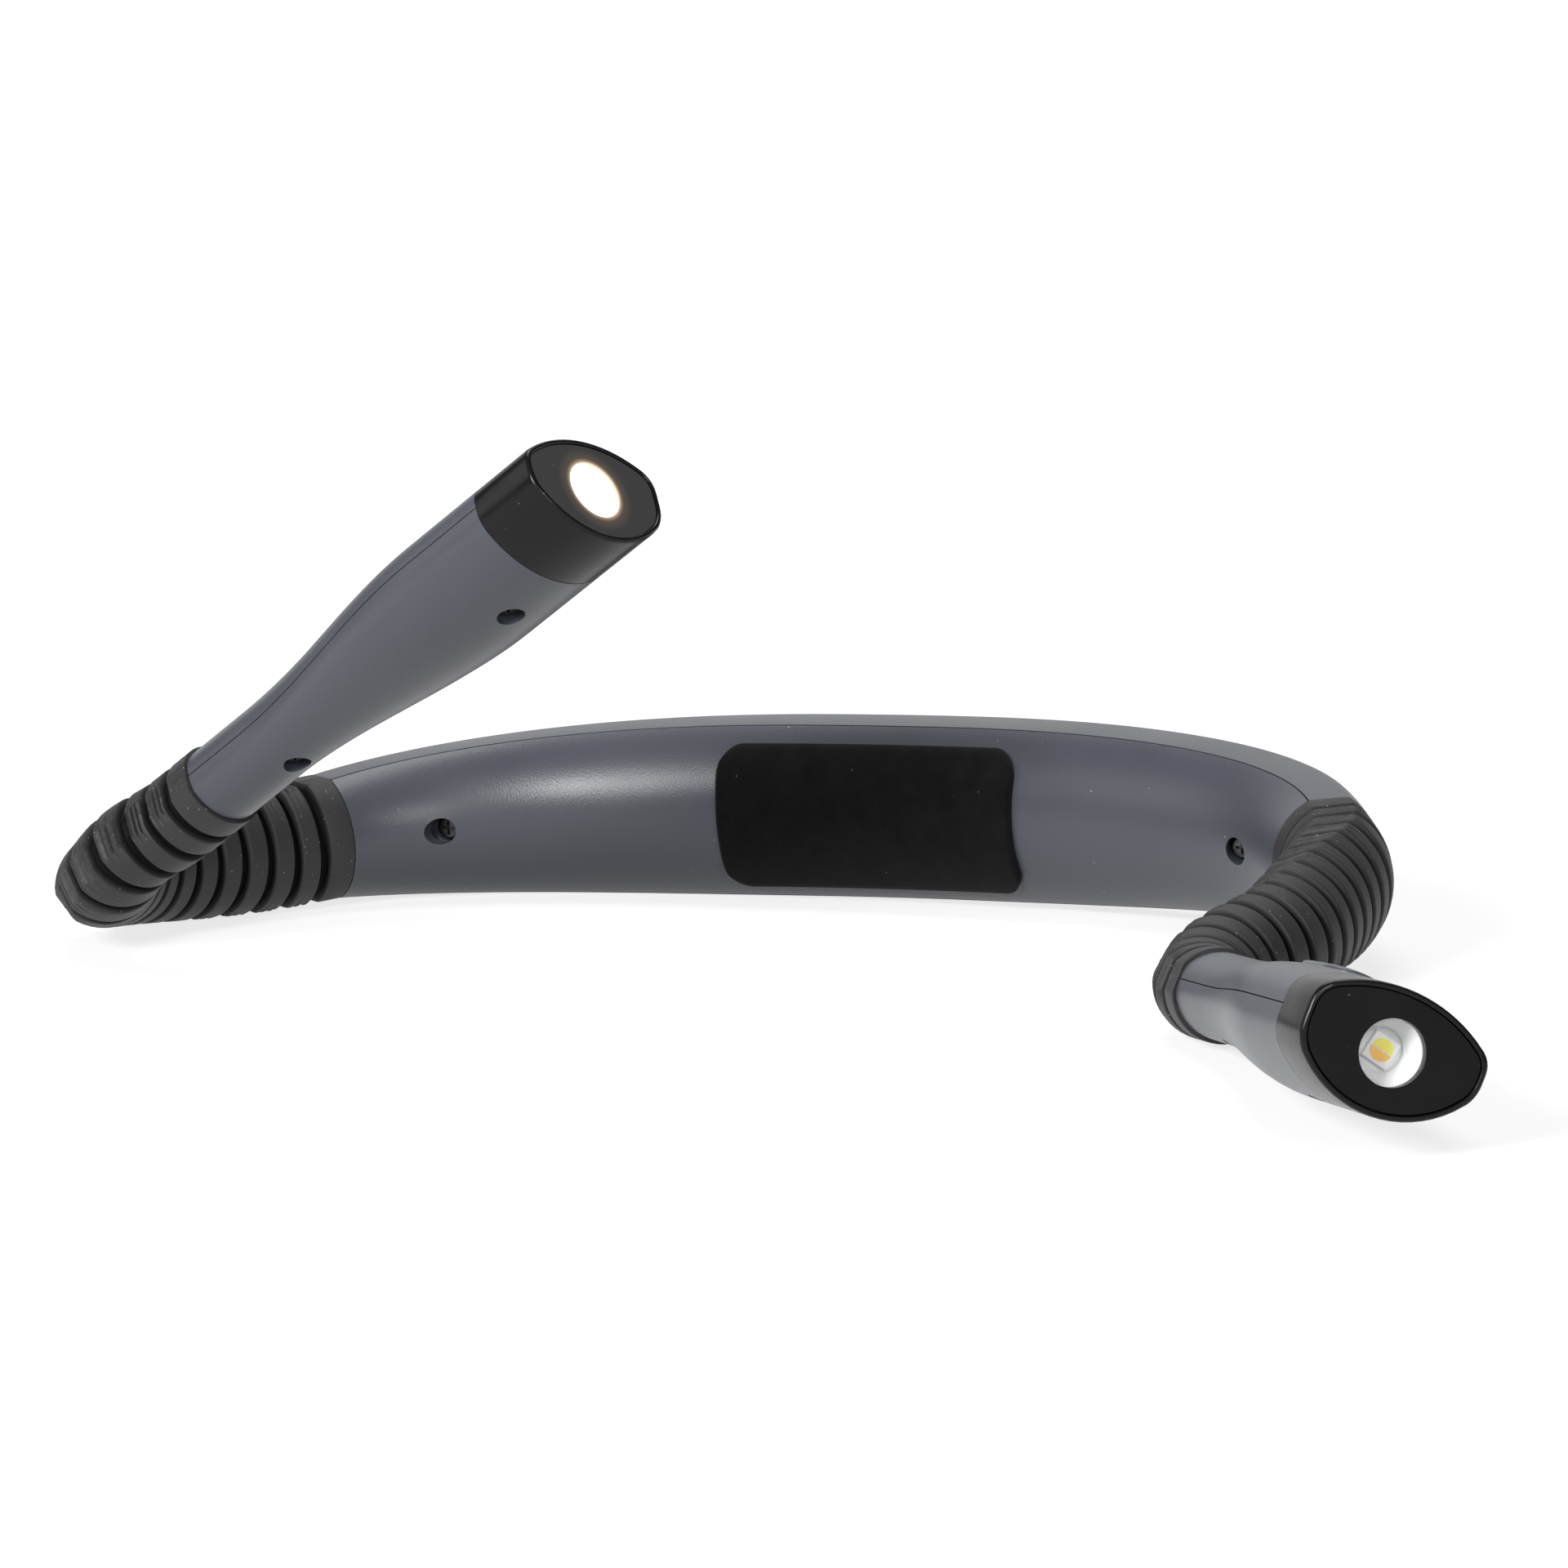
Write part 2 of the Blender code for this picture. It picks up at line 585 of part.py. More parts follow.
class Sleeve:
    """An arm's middle line, with a section frame anywhere along it."""

    def __init__(self, arm):
        self.arm = arm
        end = band_frame(-arm.hand * BAND_HALF_LENGTH)
        self.root = end._replace(along=end.along * -arm.hand)
        self.heading = self.direction(arm.heading_share).normalized()
        tip = self.spot(arm.tip_share)
        leads = [self.root.origin, self.root.at(0.0, 0.0, SLEEVE_LEAD / 2.0), self.root.at(0.0, 0.0, SLEEVE_LEAD)]
        tails = [tip - self.heading * SLEEVE_LEAD, tip - self.heading * SLEEVE_LEAD / 2.0, tip]
        middle = [self.spot(share) for share in arm.route_shares]
        self.points = even(spline_points(leads + middle + tails), SLEEVE_PATH_STEPS + 1)
        self.lengths = distances(self.points)
        self.length = self.lengths[-1]
        self.frames = self.carried_frames()

    def direction(self, share):
        ahead, inwards, up = share
        return self.root.along * ahead + self.root.inner * inwards + self.root.top * up

    def spot(self, share):
        return self.root.origin + self.direction(share) * SLEEVE_LENGTH

    def carried_frames(self):
        """Frames carried along the line without spin, then twisted towards the head's own angle."""
        frames = []
        top = self.root.top.copy()
        last = self.root.along
        for k, point in enumerate(self.points):
            before = self.points[max(0, k - 1)]
            after = self.points[min(len(self.points) - 1, k + 1)]
            along = (after - before).normalized()
            top = last.rotation_difference(along) @ top
            top = (top - along * top.dot(along)).normalized()
            inner = top.cross(along) * self.arm.hand
            twist = self.arm.twist * smoothstep(k / SLEEVE_PATH_STEPS)
            turned_top = top * math.cos(twist) + inner * math.sin(twist)
            frames.append(Frame(point, turned_top.cross(along) * self.arm.hand, turned_top, along))
            last = along
        return frames

    def frame(self, distance):
        """The frame at a distance along the sleeve, straight on past either end."""
        share = min(max(distance / self.length, 0.0), 1.0) * SLEEVE_PATH_STEPS
        k = min(int(share), SLEEVE_PATH_STEPS - 1)
        a, b = self.frames[k], self.frames[k + 1]
        part = share - k
        along = a.along.lerp(b.along, part).normalized()
        top = a.top.lerp(b.top, part)
        top = (top - along * top.dot(along)).normalized()
        past = distance - min(max(distance, 0.0), self.length)
        origin = a.origin.lerp(b.origin, part) + along * past
        return Frame(origin, top.cross(along) * self.arm.hand, top, along)

    def section(self, distance):
        return mix(BAND_END, SLEEVE_TIP, smoothstep(distance / self.length))

    def head_frame(self):
        return self.frame(self.length)


def sleeve_steps(length):
    """Distance and depth of every edge of the collars, ribs and grooves along a sleeve."""
    start = SEAM
    end = length - SEAM
    grooves = SLEEVE_RIBS + 1
    rib = (end - start - 2.0 * SLEEVE_COLLAR - grooves * SLEEVE_GROOVE) / SLEEVE_RIBS
    steps = [(start, 0.0)]
    place = start + SLEEVE_COLLAR
    for _ in range(grooves):
        steps += [(place, 0.0), (place, SLEEVE_GROOVE_DEPTH)]
        steps += [(place + SLEEVE_GROOVE, SLEEVE_GROOVE_DEPTH), (place + SLEEVE_GROOVE, 0.0)]
        place += SLEEVE_GROOVE + rib
    steps.append((end, 0.0))
    return steps


def bore_ring(points, radius):
    """A round bore ring with one point behind each point of an outline."""
    return [point.normalized() * radius for point in points]


def build_sleeve(sleeve, parent, matrix):
    rings = []
    for distance, depth in sleeve_steps(sleeve.length):
        points = outline(inset(sleeve.section(distance), depth))
        rings.append(ring_at(sleeve.frame(distance), points))
    least = sleeve.length
    for k in range(2, len(rings) - 2, 4):
        least = min([least] + [(a - b).length for a, b in zip(rings[k], rings[k + 1])])
    print(sleeve.arm.name, "sleeve: least gap between ribs, mm:", round(least * 1000.0, 2))
    radius = CORE_DIAMETER / 2.0 + CORE_CLEARANCE
    for k in range(SLEEVE_RIBS, -1, -1):
        distance = SEAM + (sleeve.length - 2.0 * SEAM) * k / SLEEVE_RIBS
        points = bore_ring(outline(sleeve.section(distance)), radius)
        rings.append(ring_at(sleeve.frame(distance), points))
    solid(sleeve.arm.name + "_sleeve", loft(rings, wraps=True), "black_silicone", parent, matrix)


def build_core(sleeve, parent, matrix):
    """The bendable metal gooseneck: a tube clamped in a ferrule at both ends."""
    start = -CORE_SEAT
    end = sleeve.length + CORE_SEAT
    places = [start + (end - start) * k / (CORE_STATIONS - 1) for k in range(CORE_STATIONS)]
    frames = [sleeve.frame(place) for place in places]
    sides = 8
    outside = [ring_at(frame, circle(CORE_DIAMETER / 2.0, sides)) for frame in frames]
    inside = [ring_at(frame, circle(CORE_BORE / 2.0, sides)) for frame in frames]
    solid(sleeve.arm.name + "_gooseneck_core", loft(outside + inside[::-1], wraps=True), "steel", parent, matrix)


def core_socket(frame, depth):
    """A cutter for the core's seat in a ferrule, with the cable's hole behind it; along leads inwards."""
    seat = CORE_SEAT + SEAM
    return turned(frame, (
        (-OVERRUN, CORE_DIAMETER / 2.0 + SEAM), (seat, CORE_DIAMETER / 2.0 + SEAM), (seat, CORE_BORE / 2.0),
        (depth + OVERRUN, CORE_BORE / 2.0)))


def build_base_ferrule(sleeve, lamp):
    """The block that clamps the core between the band's two shells."""
    side = -sleeve.arm.hand
    end = side * BAND_HALF_LENGTH
    rings = band_rings(lambda section: outline(inset(section, BAND_WALL + 2.0 * FIT)),
                       end - side * FERRULE_LENGTH, end, 5)
    block = solid(sleeve.arm.name + "_base_ferrule", loft(rings), "black_plastic", lamp)
    socket = sleeve.root._replace(along=-sleeve.root.along)
    combine(block, guide(sleeve.arm.name + "_base_socket", core_socket(socket, FERRULE_LENGTH), block), "DIFFERENCE")


def cable_route(sleeve):
    """The wires' middle line: board, over the battery and boss, through the core, to the switch board."""
    side = -sleeve.arm.hand
    board = board_frame()
    lift = board_edge() + BOARD_HEIGHT + SEAM + CABLE_DIAMETER / 2.0
    across = PORT_THICKNESS / 2.0 + SEAM + BOARD_THICKNESS / 2.0
    near = BOARD_LENGTH / 2.0 - CABLE_DIAMETER * 2.0
    points = [board.at(across, lift, side * (near - CABLE_DIAMETER)), board.at(across, lift, side * near)]
    start = BOARD_PLACE + side * (BOARD_LENGTH / 2.0 + CABLE_DIAMETER * 2.0)
    stop = side * (BAND_HALF_LENGTH * BAND_SCREW_SHARE - BAND_BOSS / 2.0)
    count = max(1, round(abs(stop - start) / (BAND_HALF_LENGTH / 8.0)))
    for k in range(count + 1):
        place = start + (stop - start) * k / count
        roof = band_section(place).height / 2.0 - BAND_WALL
        points.append(band_frame(place).at(0.0, roof - CABLE_DIAMETER - SEAM / 2.0))
    for back in (CABLE_DIAMETER * 3.0, CABLE_DIAMETER * 1.5, 0.0, -FERRULE_LENGTH / 2.0):
        points.append(sleeve.root.at(0.0, 0.0, -FERRULE_LENGTH - back))
    points += sleeve.points[::4]
    head = sleeve.head_frame()
    first_screw = HEAD_LENGTH * HEAD_SCREW_SHARES[0]
    pass_by = HEAD_BOSS / 2.0 + SEAM + CABLE_DIAMETER / 2.0
    board_start = HEAD_LENGTH * SWITCH_BOARD_START_SHARE
    points += [head.at(0.0, 0.0, FERRULE_LENGTH / 2.0), head.at(0.0, 0.0, FERRULE_LENGTH + SEAM),
               head.at(0.0, -pass_by, first_screw - HEAD_BOSS / 4.0),
               head.at(0.0, -pass_by, first_screw + HEAD_BOSS / 4.0),
               head.at(0.0, -pass_by / 2.0, board_start - CABLE_DIAMETER * 1.5),
               head.at(0.0, -pass_by / 2.0, board_start - SEAM)]
    return points


def curve_through(points, steps=6):
    """A smooth curve through every one of its points."""
    held = [points[0]] + list(points) + [points[-1]]
    path = []
    for a, b, c, d in zip(held, held[1:], held[2:], held[3:]):
        for k in range(steps):
            t = k / steps
            path.append((b * 2.0 + (c - a) * t + (a * 2.0 - b * 5.0 + c * 4.0 - d) * t ** 2
                         + (b * 3.0 - a - c * 3.0 + d) * t ** 3) / 2.0)
    return path + [points[-1]]


def build_cable(name, points, parent, offset):
    """A round cable drawn through a path of points."""
    path = curve_through(points)
    path = even(path, max(4, round(distances(path)[-1] / CABLE_PITCH)))
    curve = bpy.data.curves.new(name, "CURVE")
    curve.dimensions = "3D"
    curve.bevel_depth = CABLE_DIAMETER / 2.0
    curve.bevel_resolution = 2
    curve.use_fill_caps = True
    line = curve.splines.new("POLY")
    line.points.add(len(path) - 1)
    for spot, point in zip(line.points, path):
        spot.co = (*(point + offset), 1.0)
    curve.materials.append(finish("grey_cable"))
    link(bpy.data.objects.new(name, curve), parent, Matrix())


def head_section(distance):
    share = distance / HEAD_LENGTH
    return mix(HEAD_NECK, HEAD_FRONT, smoothstep((share - HEAD_FLARE_START_SHARE) / HEAD_FLARE_LENGTH_SHARE))


def head_places():
    """Stations along a head's shells, closer together where the head flares."""
    flare = [HEAD_LENGTH * (HEAD_FLARE_START_SHARE + HEAD_FLARE_LENGTH_SHARE * k / HEAD_STATIONS)
             for k in range(HEAD_STATIONS + 1)]
    return [SEAM] + flare + [HEAD_LENGTH - CAP_LENGTH - CAP_LIP]


def head_shell_rings(frame, side):
    """A half shell along the head, ending in a drawn-in lip that the cap slides over."""
    rings = [ring_at(frame, half_wall(head_section(place), HEAD_WALL, side, SEAM), place)
             for place in head_places()]
    shoulder = HEAD_LENGTH - CAP_LENGTH
    lip = inset(HEAD_FRONT, HEAD_WALL + FIT)
    thick = HEAD_WALL + FIT + CAP_LIP_WALL + SEAM
    for place in (shoulder - CAP_LIP / 2.0, shoulder):
        rings.append(ring_at(frame, half_wall(HEAD_FRONT, thick, side, SEAM), place))
    for place in (shoulder, shoulder + CAP_LIP):
        rings.append(ring_at(frame, half_wall(lip, CAP_LIP_WALL, side, 2.0 * SEAM), place))
    return rings


def build_head(arm, local, matrix, tilt):
    name = arm.name + "_"
    front = solid(name + "head_front_shell", loft(head_shell_rings(local, 1)), "slate_shell",
                  tilt, matrix)
    back = solid(name + "head_back_shell", loft(head_shell_rings(local, -1)), "slate_shell",
                 tilt, matrix)
    for share, spot in zip(HEAD_SCREW_SHARES, ("neck", "front")):
        build_head_screw(arm, local, front, back, HEAD_LENGTH * share, spot)
    build_cap(arm, local, matrix, tilt)
    build_lamp(arm, local, matrix, tilt)
    build_switch(arm, local, matrix, tilt, back)
    block = prism(local, outline(inset(HEAD_NECK, HEAD_WALL + FIT)), SEAM, SEAM + FERRULE_LENGTH)
    ferrule = solid(name + "tip_ferrule", block, "black_plastic", tilt, matrix)
    combine(ferrule, guide(name + "tip_socket", core_socket(local, FERRULE_LENGTH), ferrule), "DIFFERENCE")


def build_head_screw(arm, local, front, back, place, spot):
    """A screw from the wearer's side through a boss of the front shell into a post of the back shell."""
    section = head_section(place)
    surface = local.moved(inner=(section.top + section.bottom) / 4.0 + section.inner, along=place)
    hole = facing(surface, local.top, local.along, -local.inner)
    name = arm.name + "_" + spot
    split = HEAD_SCREW_SEAT + HEAD_BOSS_FLOOR
    through = (section.top + section.bottom) / 2.0 + section.inner + section.outer
    root = HEAD_WALL * BOSS_ROOT_SHARE
    boss = guide(name + "_boss", turned(hole, ((root, HEAD_BOSS / 2.0), (split, HEAD_BOSS / 2.0))), front)
    post = guide(name + "_post", turned(hole, ((split + SEAM, HEAD_BOSS / 2.0), (through - root, HEAD_BOSS / 2.0))),
                 back)
    bore = guide(name + "_bore", turned(hole, (
        (-OVERRUN, SCREW_HOLE / 2.0), (HEAD_SCREW_SEAT, SCREW_HOLE / 2.0), (HEAD_SCREW_SEAT, SCREW_PILOT / 2.0),
        (HEAD_SCREW_SEAT + HEAD_SCREW_LENGTH + SEAM, SCREW_PILOT / 2.0))), front)
    combine(front, boss, "UNION")
    combine(back, post, "UNION")
    combine(front, bore, "DIFFERENCE")
    combine(back, bore, "DIFFERENCE")
    solid(arm.name + "_head_screw_" + spot, screw(hole, HEAD_SCREW_SEAT, HEAD_SCREW_LENGTH), "dark_steel",
          front.parent, front.matrix_basis.copy())


def build_cap(arm, local, matrix, tilt):
    """The glossy cap: a hood with a narrow rim, stepped inside to seat the face plate."""
    back = HEAD_LENGTH - CAP_LENGTH + SEAM
    seat = HEAD_LENGTH - PLATE_RECESS - PLATE_THICKNESS - SEAM
    steps = ((back, 0.0), (HEAD_LENGTH - CAP_EDGE, 0.0), (HEAD_LENGTH, CAP_EDGE / 2.0), (HEAD_LENGTH, CAP_RIM),
             (seat, CAP_RIM), (seat, HEAD_WALL), (back, HEAD_WALL))
    rings = [ring_at(local, outline(inset(HEAD_FRONT, depth)), place) for place, depth in steps]
    solid(arm.name + "_head_cap", loft(rings, wraps=True), "gloss_black", tilt, matrix)


def build_lamp(arm, local, matrix, tilt):
    """Face plate, lens, reflector cup, board and LED behind one another, nearer the wearer's side."""
    name = arm.name + "_"
    front = HEAD_LENGTH - PLATE_RECESS
    back = front - PLATE_THICKNESS
    plate = solid(name + "face_plate", prism(local, outline(inset(HEAD_FRONT, CAP_RIM + FIT)), back, front),
                  "gloss_black", tilt, matrix)
    local = local.moved(inner=WINDOW_OFFSET)
    window = turned(local, ((back - OVERRUN, WINDOW_DIAMETER / 2.0), (front + OVERRUN, WINDOW_DIAMETER / 2.0)), 32)
    combine(plate, guide(name + "window_hole", window, plate), "DIFFERENCE")
    lens = WINDOW_DIAMETER / 2.0 - FIT
    lens_front = front - LENS_RECESS
    solid(name + "lens_window", turned(local, ((lens_front - LENS_THICKNESS, lens), (lens_front, lens)), 32),
          "clear_lens", tilt, matrix)
    mouth = back - SEAM
    floor = mouth - CUP_DEPTH
    cup = ((mouth, WINDOW_DIAMETER / 2.0), (mouth, WINDOW_DIAMETER / 2.0 + CUP_WALL),
           (floor, CUP_FLOOR_DIAMETER / 2.0 + CUP_WALL), (floor, CUP_FLOOR_DIAMETER / 2.0))
    rings = [ring_at(local, circle(radius, 28), place) for place, radius in cup]
    solid(name + "reflector_cup", loft(rings, wraps=True), "white_cup", tilt, matrix)
    board = floor - SEAM
    board_points = rounded(LED_BOARD_WIDTH, LED_BOARD_HEIGHT, LED_BOARD_THICKNESS)
    solid(name + "led_board", prism(local, board_points, board - LED_BOARD_THICKNESS, board),
          "white_board", tilt, matrix)
    square = rounded(LED_CHIP, LED_CHIP, LED_CHIP / 20.0, 1)
    solid(name + "led_chip", prism(local, square, board + SEAM / 2.0, board + SEAM / 2.0 + LED_CHIP_HEIGHT),
          "led_yellow", tilt, matrix)


def back_reach(place):
    """How far the head's back reaches from its middle line."""
    section = head_section(place)
    return (section.top + section.bottom) / 4.0 + section.outer


def shell_drop(place, point):
    """How far the back shell falls away, from a place on its middle line to a point beside it."""
    section = head_section(place + point.y)
    radius = section.height ** 2 / (8.0 * section.outer) + section.outer / 2.0
    return back_reach(place) - back_reach(place + point.y) + radius - math.sqrt(radius ** 2 - point.x ** 2)


def crown_ring(out, place, points, rise):
    """A ring of the button's crown, at one height above the bowed shell."""
    return [out.at(point.x, point.y, rise - shell_drop(place, point)) for point in points]


def build_switch(arm, local, matrix, tilt, back):
    """A push button in the back shell, over a small switch on its board."""
    name = arm.name + "_"
    place = HEAD_LENGTH * BUTTON_SHARE
    surface = back_reach(place)
    fall = surface - back_reach(place - BUTTON_LENGTH / 2.0 - BUTTON_FLANGE)
    # The frame looks outwards from the shell's surface; negative is inside the head.
    spot = local.moved(inner=-surface, along=place)
    out = facing(spot, local.top, local.along, -local.inner)
    corner = BUTTON_WIDTH / 2.0 - FIT
    shape = rounded(BUTTON_WIDTH, BUTTON_LENGTH, corner, 4)
    sag = BUTTON_WIDTH ** 2 / 8.0 / surface
    flange = HEAD_WALL + sag + fall + SEAM
    low = -flange - BUTTON_FLANGE_THICKNESS
    wide = rounded(BUTTON_WIDTH + 2.0 * BUTTON_FLANGE, BUTTON_LENGTH + 2.0 * BUTTON_FLANGE, corner, 4)
    crown = rounded(BUTTON_WIDTH - 2.0 * BUTTON_RISE, BUTTON_LENGTH - 2.0 * BUTTON_RISE, corner - BUTTON_RISE, 4)
    rings = [ring_at(out, wide, low), ring_at(out, wide, -flange), ring_at(out, shape, -flange),
             crown_ring(out, place, shape, BUTTON_RISE / 3.0)]
    for share in CROWN_SHARES:
        rings.append(crown_ring(out, place, [point * share for point in crown], BUTTON_RISE))
    button = bmesh_at(loft(rings), out.origin)
    solid(name + "button", button, "slate_shell", tilt, matrix @ Matrix.Translation(out.origin))
    slot = rounded(BUTTON_WIDTH + 2.0 * FIT, BUTTON_LENGTH + 2.0 * FIT, corner + FIT, 4)
    combine(back, guide(name + "button_slot", prism(out, slot, -flange - OVERRUN, OVERRUN), back), "DIFFERENCE")
    top = low - PLUNGER_GAP - BUTTON_TRAVEL
    plunger_base = top - SWITCH_THICKNESS / 3.0
    base = top - SWITCH_THICKNESS
    can = rounded(SWITCH_HEIGHT, SWITCH_LENGTH, SWITCH_HEIGHT / 12.0, 1)
    switch = solid(name + "push_switch", prism(out, can, base, plunger_base), "black_plastic", tilt, matrix)
    stem = turned(out, ((base + SWITCH_THICKNESS / 3.0, PLUNGER_DIAMETER / 2.0), (top, PLUNGER_DIAMETER / 2.0)), 12)
    combine(switch, guide(name + "plunger", stem, switch), "UNION")
    middle = (SWITCH_BOARD_START_SHARE + SWITCH_BOARD_END_SHARE) / 2.0 - BUTTON_SHARE
    board = out.moved(top=HEAD_LENGTH * middle)
    points = rounded(SWITCH_BOARD_HEIGHT, HEAD_LENGTH * (SWITCH_BOARD_END_SHARE - SWITCH_BOARD_START_SHARE),
                     SWITCH_BOARD_THICKNESS)
    upper = base - SEAM / 2.0
    solid(name + "switch_board", prism(board, points, upper - SWITCH_BOARD_THICKNESS, upper), "green_board",
          tilt, matrix)


def bmesh_at(bm, origin):
    """Move a mesh so that a point of it becomes its object's origin."""
    bmesh.ops.translate(bm, verts=bm.verts, vec=-origin)
    return bm


def build_arm(arm, lamp):
    sleeve = Sleeve(arm)
    swing_at = sleeve.frame(sleeve.length * SWING_SHARE).origin
    tilt_at = sleeve.frame(sleeve.length * TILT_SHARE).origin
    swing = empty(arm.name + "_swing_axis", lamp, swing_at)
    tilt = empty(arm.name + "_tilt_axis", swing, tilt_at - swing_at)
    shift = Matrix.Translation(-swing_at)
    build_sleeve(sleeve, swing, shift)
    build_core(sleeve, swing, shift)
    build_base_ferrule(sleeve, lamp)
    build_cable(arm.name + "_led_cable", cable_route(sleeve), swing, -swing_at)
    head = sleeve.head_frame()
    hand_inner = head.inner * arm.hand
    turn = Matrix((hand_inner, head.top, head.along)).transposed().to_4x4()
    matrix = Matrix.Translation(head.origin - tilt_at) @ turn
    local = Frame(Vector((0.0, 0.0, 0.0)), Vector((arm.hand, 0.0, 0.0)), Vector((0.0, 1.0, 0.0)),
                  Vector((0.0, 0.0, 1.0)))
    build_head(arm, local, matrix, tilt)


def stand_on_table(lamp):
    """Lift the whole light so that its lowest point is at height zero, under its middle."""
    bpy.context.view_layer.update()
    depsgraph = bpy.context.evaluated_depsgraph_get()
    corners = []
    for obj in bpy.context.scene.objects:
        if obj.type == "EMPTY" or obj.hide_render:
            continue
        seen = obj.evaluated_get(depsgraph)
        mesh = seen.to_mesh()
        corners += [obj.matrix_world @ vert.co for vert in mesh.vertices]
        seen.to_mesh_clear()
    low = Vector([min(corner[axis] for corner in corners) for axis in range(3)])
    high = Vector([max(corner[axis] for corner in corners) for axis in range(3)])
    middle = (low + high) / 2.0
    lamp.location -= Vector((middle.x, middle.y, low.z))


def main():
    for obj in list(bpy.data.objects):
        bpy.data.objects.remove(obj, do_unlink=True)
    lamp = empty("lamp", None, Vector((0.0, 0.0, 0.0)))
    lamp.rotation_euler = (BAND_PITCH, BAND_ROLL, 0.0)
    build_band(lamp)
    for arm in ARMS:
        build_arm(arm, lamp)
    stand_on_table(lamp)


main()
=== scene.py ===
# Neck reading light, lying on a pale table with its left lamp lit: a moulded neck band, a ribbed
# silicone arm at each end of it and a flared lamp head on each arm.

from collections import namedtuple
import json
import math

import bmesh
import bpy
from mathutils import Euler, Matrix, Vector

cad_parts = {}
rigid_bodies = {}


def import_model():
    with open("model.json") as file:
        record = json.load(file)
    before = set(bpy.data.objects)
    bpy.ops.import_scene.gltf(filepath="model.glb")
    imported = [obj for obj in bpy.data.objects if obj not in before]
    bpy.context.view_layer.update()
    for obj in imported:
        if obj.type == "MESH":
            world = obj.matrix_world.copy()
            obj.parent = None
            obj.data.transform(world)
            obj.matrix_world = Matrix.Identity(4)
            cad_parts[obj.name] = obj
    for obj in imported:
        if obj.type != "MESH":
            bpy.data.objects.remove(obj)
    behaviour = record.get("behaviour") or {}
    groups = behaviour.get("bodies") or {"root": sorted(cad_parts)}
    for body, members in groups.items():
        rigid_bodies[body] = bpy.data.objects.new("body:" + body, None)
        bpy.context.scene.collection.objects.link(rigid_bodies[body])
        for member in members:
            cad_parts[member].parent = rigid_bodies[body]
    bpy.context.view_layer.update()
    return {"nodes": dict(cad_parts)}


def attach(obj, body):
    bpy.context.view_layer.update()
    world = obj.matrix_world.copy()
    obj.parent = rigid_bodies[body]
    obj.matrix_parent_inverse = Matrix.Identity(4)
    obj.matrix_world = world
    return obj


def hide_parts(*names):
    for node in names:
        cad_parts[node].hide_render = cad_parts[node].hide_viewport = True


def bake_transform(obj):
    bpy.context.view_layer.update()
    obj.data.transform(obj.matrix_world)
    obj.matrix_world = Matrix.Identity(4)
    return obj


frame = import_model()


# The photograph's view
# The light lies on the band's lower edge and on both sleeves, so the band leans a little towards
# its open side. The camera is aimed from the band's own middle: a long lens, a little above it.

lie = (Matrix.Translation((-0.02636608, 0.08181510, 0.01342085))
       @ Euler((math.radians(4.54), math.radians(-1.10), 0.0)).to_matrix().to_4x4())
lie_turn = lie.to_3x3()
camera_around = math.radians(25.9095)
camera_above = math.radians(11.5002)
camera_roll = math.radians(-4.2388)
camera_distance = 1.046317

lens = bpy.data.cameras.new("photo_camera")
lens.sensor_width = 36.0
lens.lens = 168.75
lens.shift_x = -0.07324
lens.shift_y = 0.01382
camera = bpy.data.objects.new("photo_camera", lens)
bpy.context.scene.collection.objects.link(camera)
camera.matrix_world = (lie @ Matrix.Rotation(camera_around, 4, "Z")
                       @ Matrix.Rotation(math.pi / 2.0 - camera_above, 4, "X")
                       @ Matrix.Rotation(camera_roll, 4, "Z")
                       @ Matrix.Translation((0.0, 0.0, camera_distance)))
bpy.context.scene.camera = camera
bpy.context.scene.view_settings.view_transform = "Standard"


# Table and studio
# A seamless white sweep under and behind the light, brighter away from it, lit by an overhead
# softbox, a small one in front and a panel on either side.

def grey(tone):
    return tone, tone, tone, 1.0


def feed(socket, value):
    """Link an input to another node's output, or give it a value."""
    if isinstance(value, bpy.types.NodeSocket):
        socket.id_data.links.new(value, socket)
    else:
        socket.default_value = value


def feed_all(node, **values):
    """Feed a node's inputs by their names, with underscores for spaces."""
    for name, value in values.items():
        feed(node.inputs[name.replace("_", " ")], value)


def new_material(name):
    """A new node material, its node tree and its Principled shader."""
    material = bpy.data.materials.new(name)
    material.use_nodes = True
    return material, material.node_tree, material.node_tree.nodes["Principled BSDF"]


def object_coords(tree):
    return tree.nodes.new("ShaderNodeTexCoord").outputs["Object"]


def maths(tree, operation, *values, kind="Math"):
    """The result of a math node on the values."""
    node = tree.nodes.new("ShaderNode" + kind)
    node.operation = operation
    for socket, value in zip(node.inputs, values):
        feed(socket, value)
    return node.outputs["Value"]


def mapped(tree, value, from_min, from_max, to_min, to_max):
    """A value carried over from one range to another."""
    node = tree.nodes.new("ShaderNodeMapRange")
    feed_all(node, Value=value, From_Min=from_min, From_Max=from_max, To_Min=to_min, To_Max=to_max)
    return node.outputs["Result"]


def deselect_all():
    for other in bpy.context.view_layer.objects:
        other.select_set(False)


def pick(piece, kind, wanted):
    """In edit mode, select only the wanted edges or faces."""
    bpy.ops.mesh.select_mode(type=kind)
    bpy.ops.mesh.select_all(action="DESELECT")
    mesh = bmesh.from_edit_mesh(piece.data)
    for part in mesh.edges if kind == "EDGE" else mesh.faces:
        if wanted(part):
            part.select_set(True)


